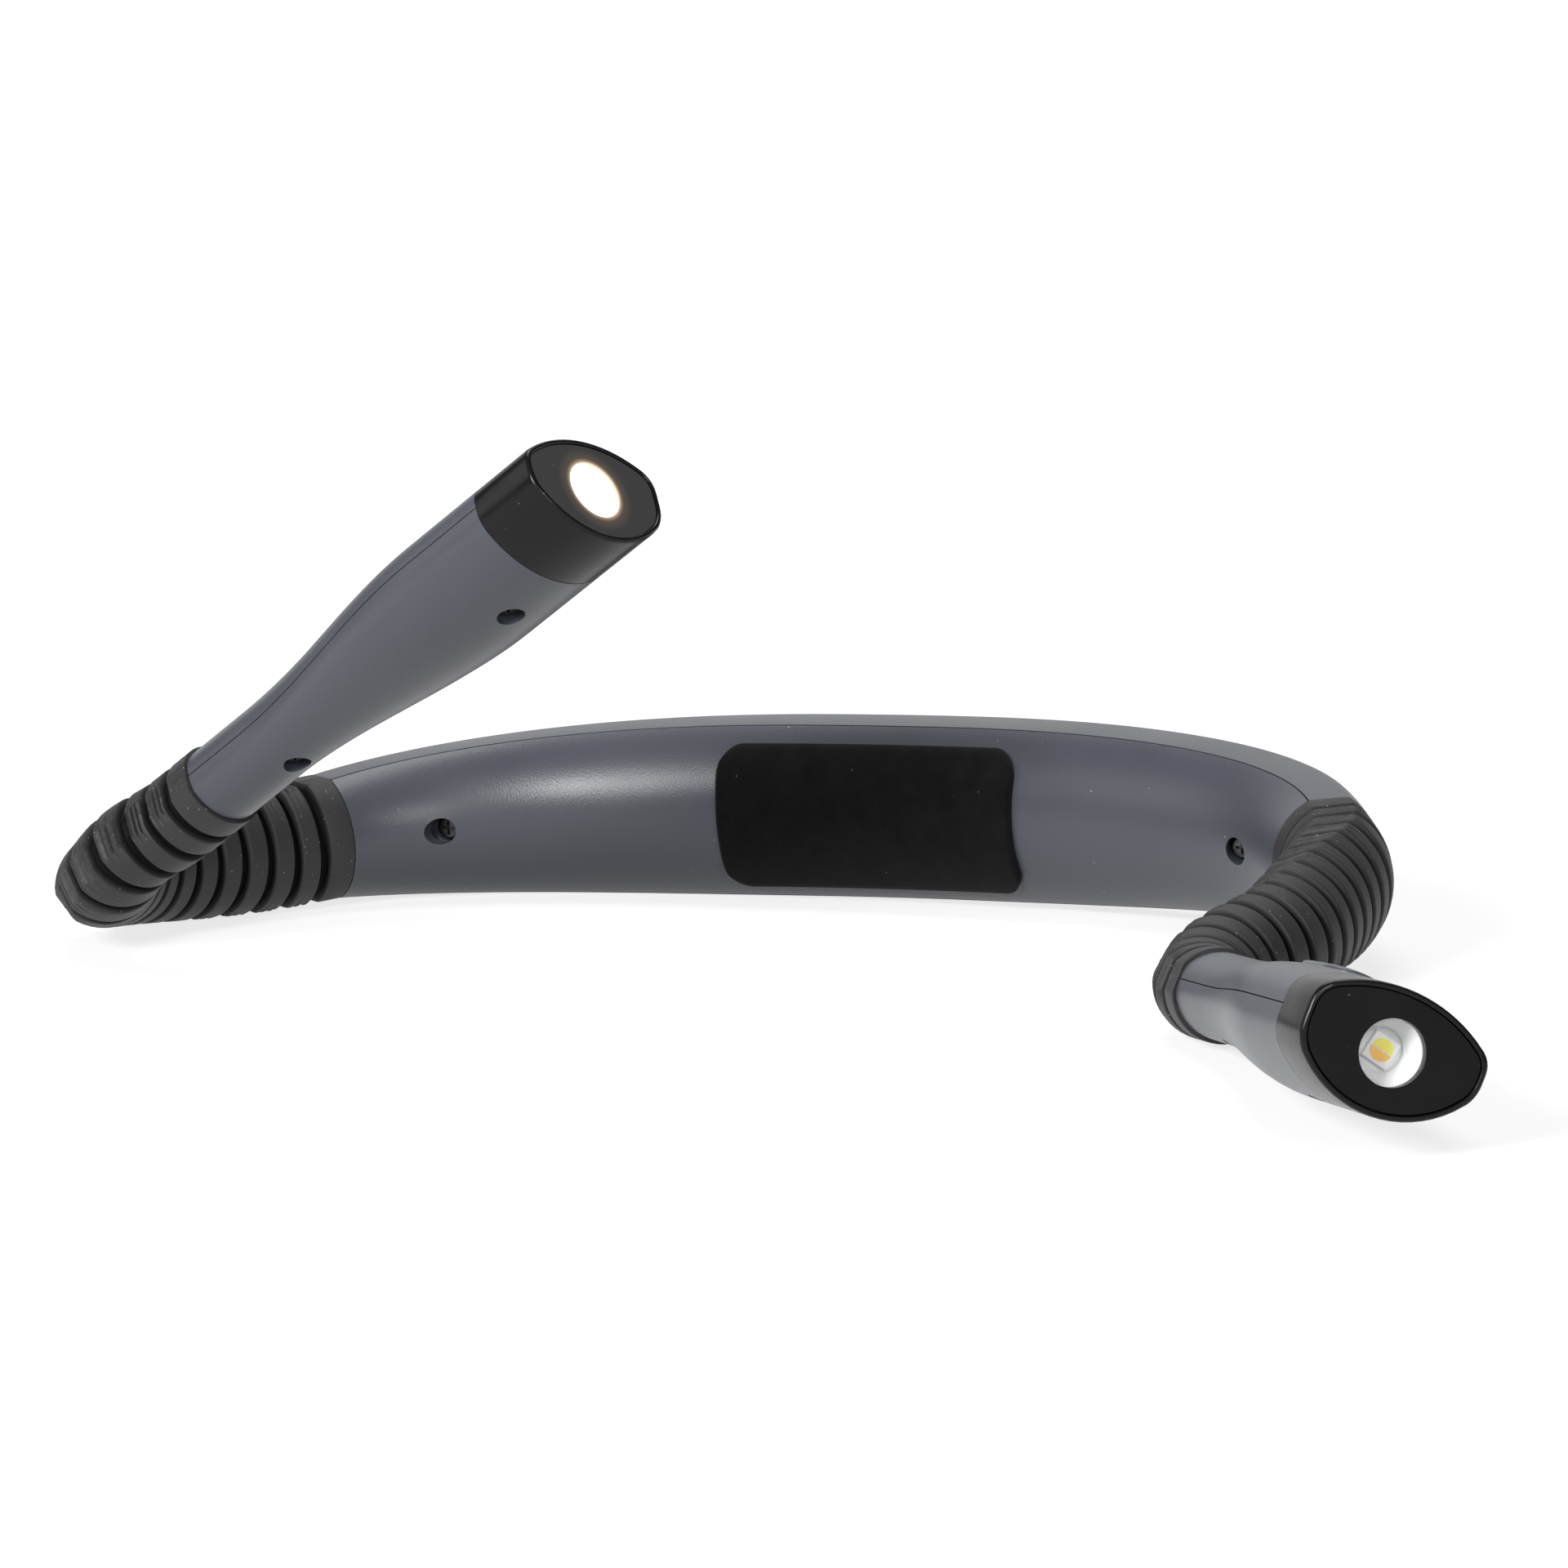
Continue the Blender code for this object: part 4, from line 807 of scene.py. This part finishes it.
def black_silicone():
    """Matt black silicone rubber: dust, short lint and creases on its strips; its grooves dark with painted
    shade.
    """
    material, tree, shader = new_material("dusty_black_silicone")
    strip, run, hollow = [attribute(tree, name) for name in ("strip", "run", "hollow")]
    patches = noise(tree, 120.0, 6.0)
    tone = ramp(tree, patches, (0.3, 0.013, 0.013, 0.0135), (0.8, 0.021, 0.021, 0.0215))
    film = mapped(tree, noise(tree, 1500.0, 5.0), 0.50, 0.75, 0.0, 0.07)
    dust = maths(tree, "MULTIPLY_ADD", strip, film, dust_specks(tree, 1100.0, 0.13, 0.60))
    dusty = mixed(tree, dust, tone, (0.30, 0.29, 0.28, 1.0))
    pinched = maths(tree, "MULTIPLY", noise(tree, 1100.0, 2.0, along=run), strip)
    fold = bump(tree, pinched, 1.0, 0.00015)
    # Painted shade: the grooves go near black and lose most of their shine, the more so the deeper they
    # are.
    feed_all(shader, Base_Color=mixed(tree, hollow, dusty, grey(0.004)),
             Specular_IOR_Level=mapped(tree, hollow, 0.0, 1.0, 0.45, 0.08),
             Roughness=mapped(tree, patches, 0.0, 1.0, 0.52, 0.68),
             Normal=bump(tree, noise(tree, 2600.0, 3.0), 0.35, 0.00005, fold))
    return material


def dress_bending(piece, material, line, half, node):
    """Give half of an arm's piece its material and hide the solid that it stands for."""
    piece.data.materials.append(material)
    if half == "near":
        line.place(blend_margin).origin
        line.place(line.length * blend_middle).origin
        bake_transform(piece)
    else:
        line.place(line.length * (1.0 - blend_middle)).origin
        line.place(line.length - blend_margin).origin
        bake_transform(piece)
    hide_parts(line.name + node)


silicone = black_silicone()
lines = [SleeveLine(arm) for arm in arms]

for line in lines:
    steps, split = rib_steps(line.length)
    for half, chosen in (("near", steps[:split + 1]), ("far", steps[split:])):
        outside = []
        marks = {"strip": [], "run": [], "hollow": []}
        for stop, depth in chosen:
            section = drawn_in(line.section(stop), depth)
            on_rib = depth == 0.0 and sleeve_collar < stop < line.length - sleeve_collar
            coarse, fine = [math.sin(stop * rate) for rate in crease_rates]
            crease = crease_depth * max(0.0, coarse + 0.4 * fine) if on_rib else 0.0
            outline = finned_outline(section, fin_rise if depth <= end_round else 0.0, crease)
            outside.append(ring(line.place(stop), outline))
            marks["strip"] += [strip_share(point, section) for point in outline]
            marks["run"] += [stop] * len(outline)
            # How much painted shade each ring of a groove gets, full at the shaded groove depth.
            marks["hollow"] += [min(1.0, depth / shaded_groove_depth)] * len(outline)
        first, last = chosen[0][0], chosen[-1][0]
        bore = []
        for k in range(16):
            stop = last + (first - last) * k / 15
            outline = finned_outline(line.section(stop), 0.0, 0.0)
            bore.append(ring(line.place(stop), [point.normalized() * sleeve_bore for point in outline]))
        sleeve = smooth(skin(line.name + "_sleeve_" + half, outside + bore, wraps=True), 38.0)
        for name, values in marks.items():
            values += [0.0] * (len(sleeve.data.vertices) - len(values))
            sleeve.data.attributes.new(name, "FLOAT", "POINT").data.foreach_set("value", values)
        dress_bending(sleeve, silicone, line, half, "_sleeve")


# Gooseneck cores and wires
# A bright metal tube runs through each sleeve, clamped at both ends. The lamp's grey wires come from
# the charging board along the roof of the band, and go through the tube to the switch board.

core_radius = 0.0025
core_bore = 0.0012
core_past = 0.0050
wire_radius = 0.0007
wire_steps = 6
wire_lane = 0.0024
wire_height = 0.0185
wire_pads = (0.0078, 0.0092)
wire_start = 0.0148
wire_stop = 0.0674
wire_pitch = 0.0108
roof_gap = 0.00315
wires_in_root = (-0.0122, -0.0101, -0.0080, -0.0040)
wires_in_head = ((0.0, 0.0040), (0.0, 0.0083), (-0.0036, 0.0137), (-0.0036, 0.0163),
                 (-0.0018, 0.0199), (-0.0018, 0.0217))


def plain_finish(name, colour, roughness, grain, strength, metallic=0.0):
    """A simple finish with a fine grain in its colour and surface."""
    material, tree, shader = new_material(name)
    grains = noise(tree, grain, 3.0)
    darker = [tone * (1.0 - strength) for tone in colour]
    lighter = [min(1.0, tone * (1.0 + strength)) for tone in colour]
    feed_all(shader, Base_Color=ramp(tree, grains, (0.3, *darker), (0.7, *lighter)), Roughness=roughness,
             Metallic=metallic, Normal=bump(tree, grains, strength, 0.00003))
    return material


bright_steel = plain_finish("bright_steel", (0.50, 0.50, 0.51), 0.34, 2400.0, 0.15, 1.0)
grey_insulation = plain_finish("grey_insulation", (0.10, 0.10, 0.10), 0.55, 1800.0, 0.12)

for line in lines:
    middle = line.length / 2.0
    for half, first, last in (("near", -core_past, middle), ("far", middle, line.length + core_past)):
        stops = [first + (last - first) * k / 40 for k in range(41)]
        rings = [ring(line.place(stop), circle(radius, 24))
                 for radius, order in ((core_radius, 1), (core_bore, -1)) for stop in stops[::order]]
        core = smooth(skin(line.name + "_core_" + half, rings, wraps=True), 40.0)
        dress_bending(core, bright_steel, line, half, "_gooseneck_core")


def wire_route(line):
    """The wires' middle line from board to board, and the place of the sleeve's middle in it."""
    side = -line.hand
    lift = wire_height - band_section(port_stop).height / 2.0
    points = [at(port, wire_lane, lift, side * along) for along in wire_pads]
    start, stop = port_stop + side * wire_start, side * wire_stop
    count = max(1, round(abs(stop - start) / wire_pitch))
    for k in range(count + 1):
        place = start + (stop - start) * k / count
        points.append(at(band_place(place), top=band_section(place).height / 2.0 - roof_gap))
    points += [at(line.root, along=along) for along in wires_in_root]
    middle = len(points) + 8
    points += line.points[::4]
    points += [at(line.tip, 0.0, top, along) for top, along in wires_in_head]
    return points, middle


def curve_through(points, steps):
    """A smooth curve through every one of its points."""
    held = [points[0]] + points + [points[-1]]
    path = []
    for a, b, c, d in zip(held, held[1:], held[2:], held[3:]):
        for k in range(steps):
            t = k / steps
            path.append((b * 2.0 + (c - a) * t + (a * 2.0 - b * 5.0 + c * 4.0 - d) * t ** 2
                         + (b * 3.0 - a - c * 3.0 + d) * t ** 3) / 2.0)
    return path + [points[-1]]


def round_rings(path, radius):
    """Rings round a path, carried along it without a twist."""
    rings = []
    across = (path[1] - path[0]).orthogonal()
    for k, point in enumerate(path):
        along = (path[min(k + 1, len(path) - 1)] - path[max(k - 1, 0)]).normalized()
        across = (across - along * along.dot(across)).normalized()
        out = along.cross(across)
        rings.append([point + across * spot.x + out * spot.y for spot in circle(radius, 16)])
    return rings


for line in lines:
    points, middle = wire_route(line)
    path = curve_through(points, wire_steps)
    for half, part in (("near", path[:middle * wire_steps + 1]), ("far", path[middle * wire_steps:])):
        wire = smooth(skin(line.name + "_wire_" + half, round_rings(part, wire_radius)), 50.0)
        dress_bending(wire, grey_insulation, line, half, "_led_cable")


# Lamp heads
# Each head is a tapered housing in two moulded halves of the same slate plastic, flaring towards
# the lamp, with two screw holes on the wearer's side and an oval push button on the other.

head_length = 0.0796
head_wall = 0.0013
head_neck = Section(0.0118, 0.0032, 0.0032, 0.0040, 0.0038)
head_front = Section(0.0227, 0.0062, 0.0042, 0.0061, 0.0039)
head_corner = 0.0010
flare_start = 0.1394
flare_share = 0.5402
head_fit = ScrewFit(0.0028, 0.0048, 0.0008, 0.0037, 0.0025, 0.0050)
head_screws = ((0.0150, "neck"), (0.0596, "front"))
cap_length = 0.0108
shoulder = head_length - cap_length
shoulder_step = 0.0015
lip_inset = head_wall + 0.00025
lip_wall = 0.0010
lip_length = 0.0030
lip_gap = 0.0006
button_stop = 0.0480
button_half_straight = 0.0040
slot_half_width = 0.00412
slot_reach = 0.0050


def flare(distance):
    """The head's share of its way from the neck's section to the front's."""
    return eased_share((distance / head_length - flare_start) / flare_share)


def head_section(distance):
    return between(head_neck, head_front, flare(distance))


def head_half(section, wall, side, share, gap):
    """Half of the head's wall, split along the middle of both flat strips."""
    hollow = drawn_in(section, wall)
    edge = side * gap / 2.0
    outside = half_outline(section, side, head_corner * (1.0 + share), head_corner * (1.0 + share / 2.0))
    inside = bow(hollow, side, 12)[::-1]
    return [Vector((edge, section.height / 2.0)), *outside, Vector((edge, -section.height / 2.0)),
            Vector((edge, -hollow.height / 2.0)), *inside, Vector((edge, hollow.height / 2.0))]


def back_reach(stop):
    """How far the head's back reaches from its middle line."""
    return side_reach(head_section(stop), -1)


def shell_drop(x, y):
    """How far the back half falls away from the button's middle."""
    section = head_section(button_stop + y)
    radius = section.height ** 2 / (8.0 * section.outer) + section.outer / 2.0
    return back_reach(button_stop) - back_reach(button_stop + y) + radius - math.sqrt(radius ** 2 - x ** 2)


neck_end = hairline + 0.0001
head_stops = [neck_end + (shoulder - shoulder_step - neck_end) * k / 60 for k in range(61)]
button_face = -back_reach(button_stop)

for line in lines:
    base = line.tip
    halves = {}
    for name, side in (("front", 1), ("back", -1)):
        slices = [(drawn_in(head_section(hairline), 0.0001), head_wall, 0.0, seam_gap, hairline)]
        slices += [(head_section(stop), head_wall, flare(stop), seam_gap, stop) for stop in head_stops]
        slices += [(head_front, lip_inset + lip_wall + seam, 1.0, seam_gap, shoulder)]
        slices += [(drawn_in(head_front, lip_inset), lip_wall, 0.0, lip_gap, stop)
                   for stop in (shoulder, shoulder + lip_length)]
        halves[name] = skin(f"{line.name}_head_{name}_half", [
            ring(base, head_half(section, wall, side, share, gap), stop)
            for section, wall, share, gap, stop in slices])
    for stop, spot in head_screws:
        face = at(base, side_reach(head_section(stop), 1), along=stop)
        screw_hole(halves["front"], face, -base.inner, head_fit)
        screw = pan_head_screw(f"{line.name}_screw_{spot}", face, -base.inner, head_fit)
        dress(screw, screw_finish, line.name + "_head", "dark_steel", f"{line.name}_head_screw_{spot}")
    button_slot = slot_cutter(at(base, button_face, along=button_stop), base.top, base.along, base.inner,
                              slot_half_width, button_half_straight, slot_reach)
    join_or_cut(halves["back"], button_slot, "DIFFERENCE")
    for name, piece in halves.items():
        shell = f"{line.name}_head_{name}_shell"
        dress(smooth(piece, 24.0), slate, line.name + "_head", "slate_shell", shell)


# Push buttons
# An oval pad of the same plastic, standing a little proud of the back half. Its crown follows the
# bow of the housing.

button_half_width = 0.0040
crown_flat = 0.0030
flange_half_width = 0.0046
flange_thickness = 0.0006
flange_gap = 0.00055 + seam
flange_start = button_stop - flange_half_width - button_half_straight
button_back = back_reach(flange_start) - back_reach(button_stop) - head_wall - flange_gap
button_flange = ((flange_half_width, button_back - flange_thickness), (flange_half_width, button_back),
                 (button_half_width, button_back))
button_crown = ((button_half_width, 0.0001), (0.00396, 0.00032), (0.0038, 0.00048), (0.0035, 0.00056),
                (crown_flat, 0.0006), (0.0018, 0.0006), (0.0006, 0.0006))

for line in lines:
    name = line.name
    rings = []
    for half_width, rise in button_flange + button_crown:
        points = stadium(half_width, button_half_straight * min(1.0, half_width / crown_flat))
        crowned = (half_width, rise) in button_crown
        drops = [shell_drop(point.x, point.y) if crowned else 0.0 for point in points]
        rings.append([at(line.tip, button_face - rise + drop, point.x, button_stop + point.y)
                      for point, drop in zip(points, drops)])
    button = smooth(skin(name + "_button_pad", rings), 40.0)
    dress(button, slate, name + "_button", "slate_shell", name + "_button")


# Caps and face plates
# A glossy black hood slides over the end of each head. Its rim holds a flat glossy plate with a
# round window for the lamp.

window_radius = 0.0040
window_offset = 0.0010
plate_thickness = 0.0016
plate_inset = 0.00082
plate_corners = (0.0018, 0.0013)
cap_corners = (0.0020, 0.0015)
plate_front = head_length - 0.0002
plate_back = plate_front - plate_thickness
cap_back = shoulder + hairline
cap_seat = plate_back - seam
cap_slices = ((cap_back, 0.0001), (cap_back + 0.0001, 0.0), (head_length - 0.0006, 0.0),
              (head_length - 0.0003, 0.00005), (head_length - 0.0001, 0.00016), (head_length, 0.00032),
              (head_length, 0.0006), (head_length - 0.0001, 0.0007), (cap_seat, 0.0007),
              (cap_seat, head_wall), (cap_back, head_wall))
plate_outside = ((plate_back, plate_inset), (plate_front - 0.0001, plate_inset), (plate_front, 0.00090))
plate_hole = ((plate_front, window_radius + 0.0001), (plate_front - 0.0001, window_radius),
              (plate_back, window_radius))


def full_outline(section, high, low):
    """The whole outline with rounded corners: high beside the upper strip, low beside the lower one."""
    return half_outline(section, 1, high, low) + half_outline(section, -1, high, low)[::-1]


def front_rings(base, slices, corners):
    """Rings round the head's front, drawn in by the depth of each slice."""
    return [ring(base, full_outline(drawn_in(head_front, depth), *corners), stop) for stop, depth in slices]


def glossy_black(name, shine, roughness):
    """Polished black plastic with faint dust."""
    material, tree, shader = new_material(name)
    dusty = mixed(tree, dust_specks(tree, 800.0, 0.10, 0.85), (0.0042, 0.0042, 0.0046, 1.0), grey(0.14))
    feed_all(shader, Base_Color=dusty, Specular_IOR_Level=shine,
             Roughness=mapped(tree, noise(tree, 160.0, 5.0), 0.3, 0.7, roughness, roughness + 0.07))
    return material, tree, shader


cap_black = glossy_black("glossy_black", 0.22, 0.24)[0]
plate_black = glossy_black("plate_black", 0.15, 0.22)[0]

# The lit lamp's halo on its plate
lit_plate_black, tree, shader = glossy_black("lit_plate_black", 0.15, 0.22)
lit_window = at(lines[0].tip, window_offset, along=head_length)
spread = maths(tree, "DISTANCE", object_coords(tree), lit_window, kind="VectorMath")
halo = ramp(tree, maths(tree, "MULTIPLY", spread, 100.0), (0.403, 1.0, 0.86, 0.68),
            (0.62, 0.042, 0.042, 0.042), (0.430, 0.36, 0.25, 0.165), (0.475, 0.090, 0.073, 0.060))
feed_all(shader, Emission_Color=halo, Emission_Strength=1.0)

for line in lines:
    name, base = line.name, line.tip
    cap = skin(name + "_glossy_cap", front_rings(base, cap_slices, cap_corners), wraps=True)
    dress(smooth(cap, 30.0), cap_black, name + "_head", "gloss_black", name + "_head_cap")

    rings = front_rings(base, plate_outside, plate_corners)
    middle = Vector((window_offset, 0.0))
    ways = [(point - middle).normalized()
            for point in full_outline(drawn_in(head_front, plate_inset), *plate_corners)]
    rings += [ring(base, [middle + way * radius for way in ways], stop) for stop, radius in plate_hole]
    plate = skin(name + "_window_plate", rings, wraps=True)
    finish = lit_plate_black if name == "left" else plate_black
    dress(smooth(plate, 30.0), finish, name + "_head", "gloss_black", name + "_face_plate")


# Lamps
# Behind each window a clear disc covers a white reflector cup. A square LED package with two
# phosphors, cool and warm, sits turned by 12 degrees on its board at the bottom of the cup.

lens_thickness = 0.0008
lens_recess = 0.0003
lens_play = 0.00025
lens_middle = plate_front - lens_recess - lens_thickness / 2.0
cup_depth = 0.0034
cup_wall = 0.0006
cup_narrowing = 0.0013
cup_mouth = plate_back - seam
chip_width = 0.0034
chip_height = 0.0007
chip_solder = 0.00015
chip_middle = cup_mouth - cup_depth - seam + chip_solder + chip_height / 2.0
chip_turn = math.radians(-12.0)
phosphor_radius = 0.00135
phosphor_gap = 0.00010

clear_acrylic, tree, shader = new_material("clear_acrylic")
feed_all(shader, Base_Color=(0.97, 0.98, 0.98, 1.0), Roughness=0.03, Alpha=0.04)
lit_white, tree, shader = new_material("lit_white")
feed_all(shader, Base_Color=(0.9, 0.9, 0.88, 1.0), Emission_Color=(1.0, 0.93, 0.84, 1.0),
         Emission_Strength=6.0)
cup_white = plain_finish("cup_white", (0.88, 0.89, 0.90), 0.30, 900.0, 0.03)
package_white = plain_finish("package_white", (0.80, 0.80, 0.79), 0.40, 1500.0, 0.03)
phosphor_yellow = plain_finish("phosphor_yellow", (0.94, 0.84, 0.02), 0.60, 4000.0, 0.08)
phosphor_orange = plain_finish("phosphor_orange", (0.99, 0.50, 0.01), 0.60, 4000.0, 0.08)


def lamp_seat(line):
    """The lamp's own directions: across, up and along the head, from the sleeve's end."""
    turn = Matrix((line.tip.inner * line.hand, line.tip.top, line.tip.along)).transposed().to_4x4()
    aside = Matrix.Translation((line.hand * window_offset, 0.0, 0.0))
    return Matrix.Translation(line.tip.origin) @ turn @ aside


for line in lines:
    name, body = line.name, line.name + "_head"
    lit = name == "left"
    seat = lamp_seat(line)
    deselect_all()
    bpy.ops.mesh.primitive_cylinder_add(vertices=72, radius=window_radius - lens_play, depth=lens_thickness)
    window = bpy.context.object
    window.name = name + "_clear_window"
    window.data.transform(seat @ Matrix.Translation((0.0, 0.0, lens_middle)))
    dress(smooth(window), lit_white if lit else clear_acrylic, body, "clear_lens", name + "_lens_window")

    rings = []
    for wall, order in ((0.0, 1), (cup_wall, -1)):
        for k in range(9)[::order]:
            radius = window_radius - cup_narrowing * (k / 8.0) ** 1.4 + wall
            rings.append([seat @ Vector((point.x, point.y, cup_mouth - cup_depth * k / 8.0))
                          for point in circle(radius, 72)])
    cup = skin(name + "_white_cup", rings, wraps=True)
    dress(smooth(cup), lit_white if lit else cup_white, body, "white_cup", name + "_reflector_cup")

    deselect_all()
    bpy.ops.mesh.primitive_cube_add(size=chip_width)
    chip = bpy.context.object
    chip.name = name + "_led_package"
    chip.scale = (1.0, 1.0, chip_height / chip_width)
    bpy.ops.object.transform_apply()
    bpy.ops.object.mode_set(mode="EDIT")
    pick(chip, "FACE", lambda part: part.normal.z > 0.9)
    bpy.ops.mesh.bevel(offset=0.0001, segments=2)
    bpy.ops.object.mode_set(mode="OBJECT")
    chip_seat = seat @ Matrix.Translation((0.0, 0.0, chip_middle)) @ Matrix.Rotation(chip_turn, 4, "Z")
    chip.data.transform(chip_seat)
    dress(smooth(chip), lit_white if lit else package_white, body, "led_yellow", name + "_led_chip")
    for tone, material, side in (("yellow", phosphor_yellow, -1), ("orange", phosphor_orange, 1)):
        bulge = phosphor_radius - phosphor_gap
        half_disc = [Vector((line.hand * side * (phosphor_gap + bulge * math.sin(math.pi * k / 32)),
                             phosphor_radius * math.cos(math.pi * k / 32))) for k in range(33)]
        rings = [[chip_seat @ Vector((point.x, point.y, chip_height / 2.0 + rise)) for point in half_disc]
                 for rise in (0.00001, 0.00009)]
        phosphor = skin(name + "_phosphor_" + tone, rings)
        dress(smooth(phosphor), lit_white if lit else material, body, "led_yellow")


# Parts inside the band and the heads
# The flat cell, the boards, switches, clamps and the charging port are hidden, or seen only through
# a gap. They keep their shapes and get their finishes.

finishes = {
    "battery_cell": plain_finish("cell_wrap", (0.10, 0.22, 0.50), 0.40, 300.0, 0.06),
    "charging_board": plain_finish("board_green", (0.02, 0.12, 0.05), 0.45, 900.0, 0.20),
    "usb_c_port": bright_steel,
}
board_white = plain_finish("board_white", (0.75, 0.76, 0.76), 0.50, 900.0, 0.05)
clamp_black = plain_finish("clamp_black", (0.015, 0.015, 0.016), 0.50, 1200.0, 0.15)
for arm in arms:
    for part in ("_base_ferrule", "_tip_ferrule", "_push_switch"):
        finishes[arm.name + part] = clamp_black
    finishes[arm.name + "_switch_board"] = finishes["charging_board"]
    finishes[arm.name + "_led_board"] = board_white
for node, material in finishes.items():
    held = frame["nodes"][node]
    held.data.materials.clear()
    held.data.materials.append(material)
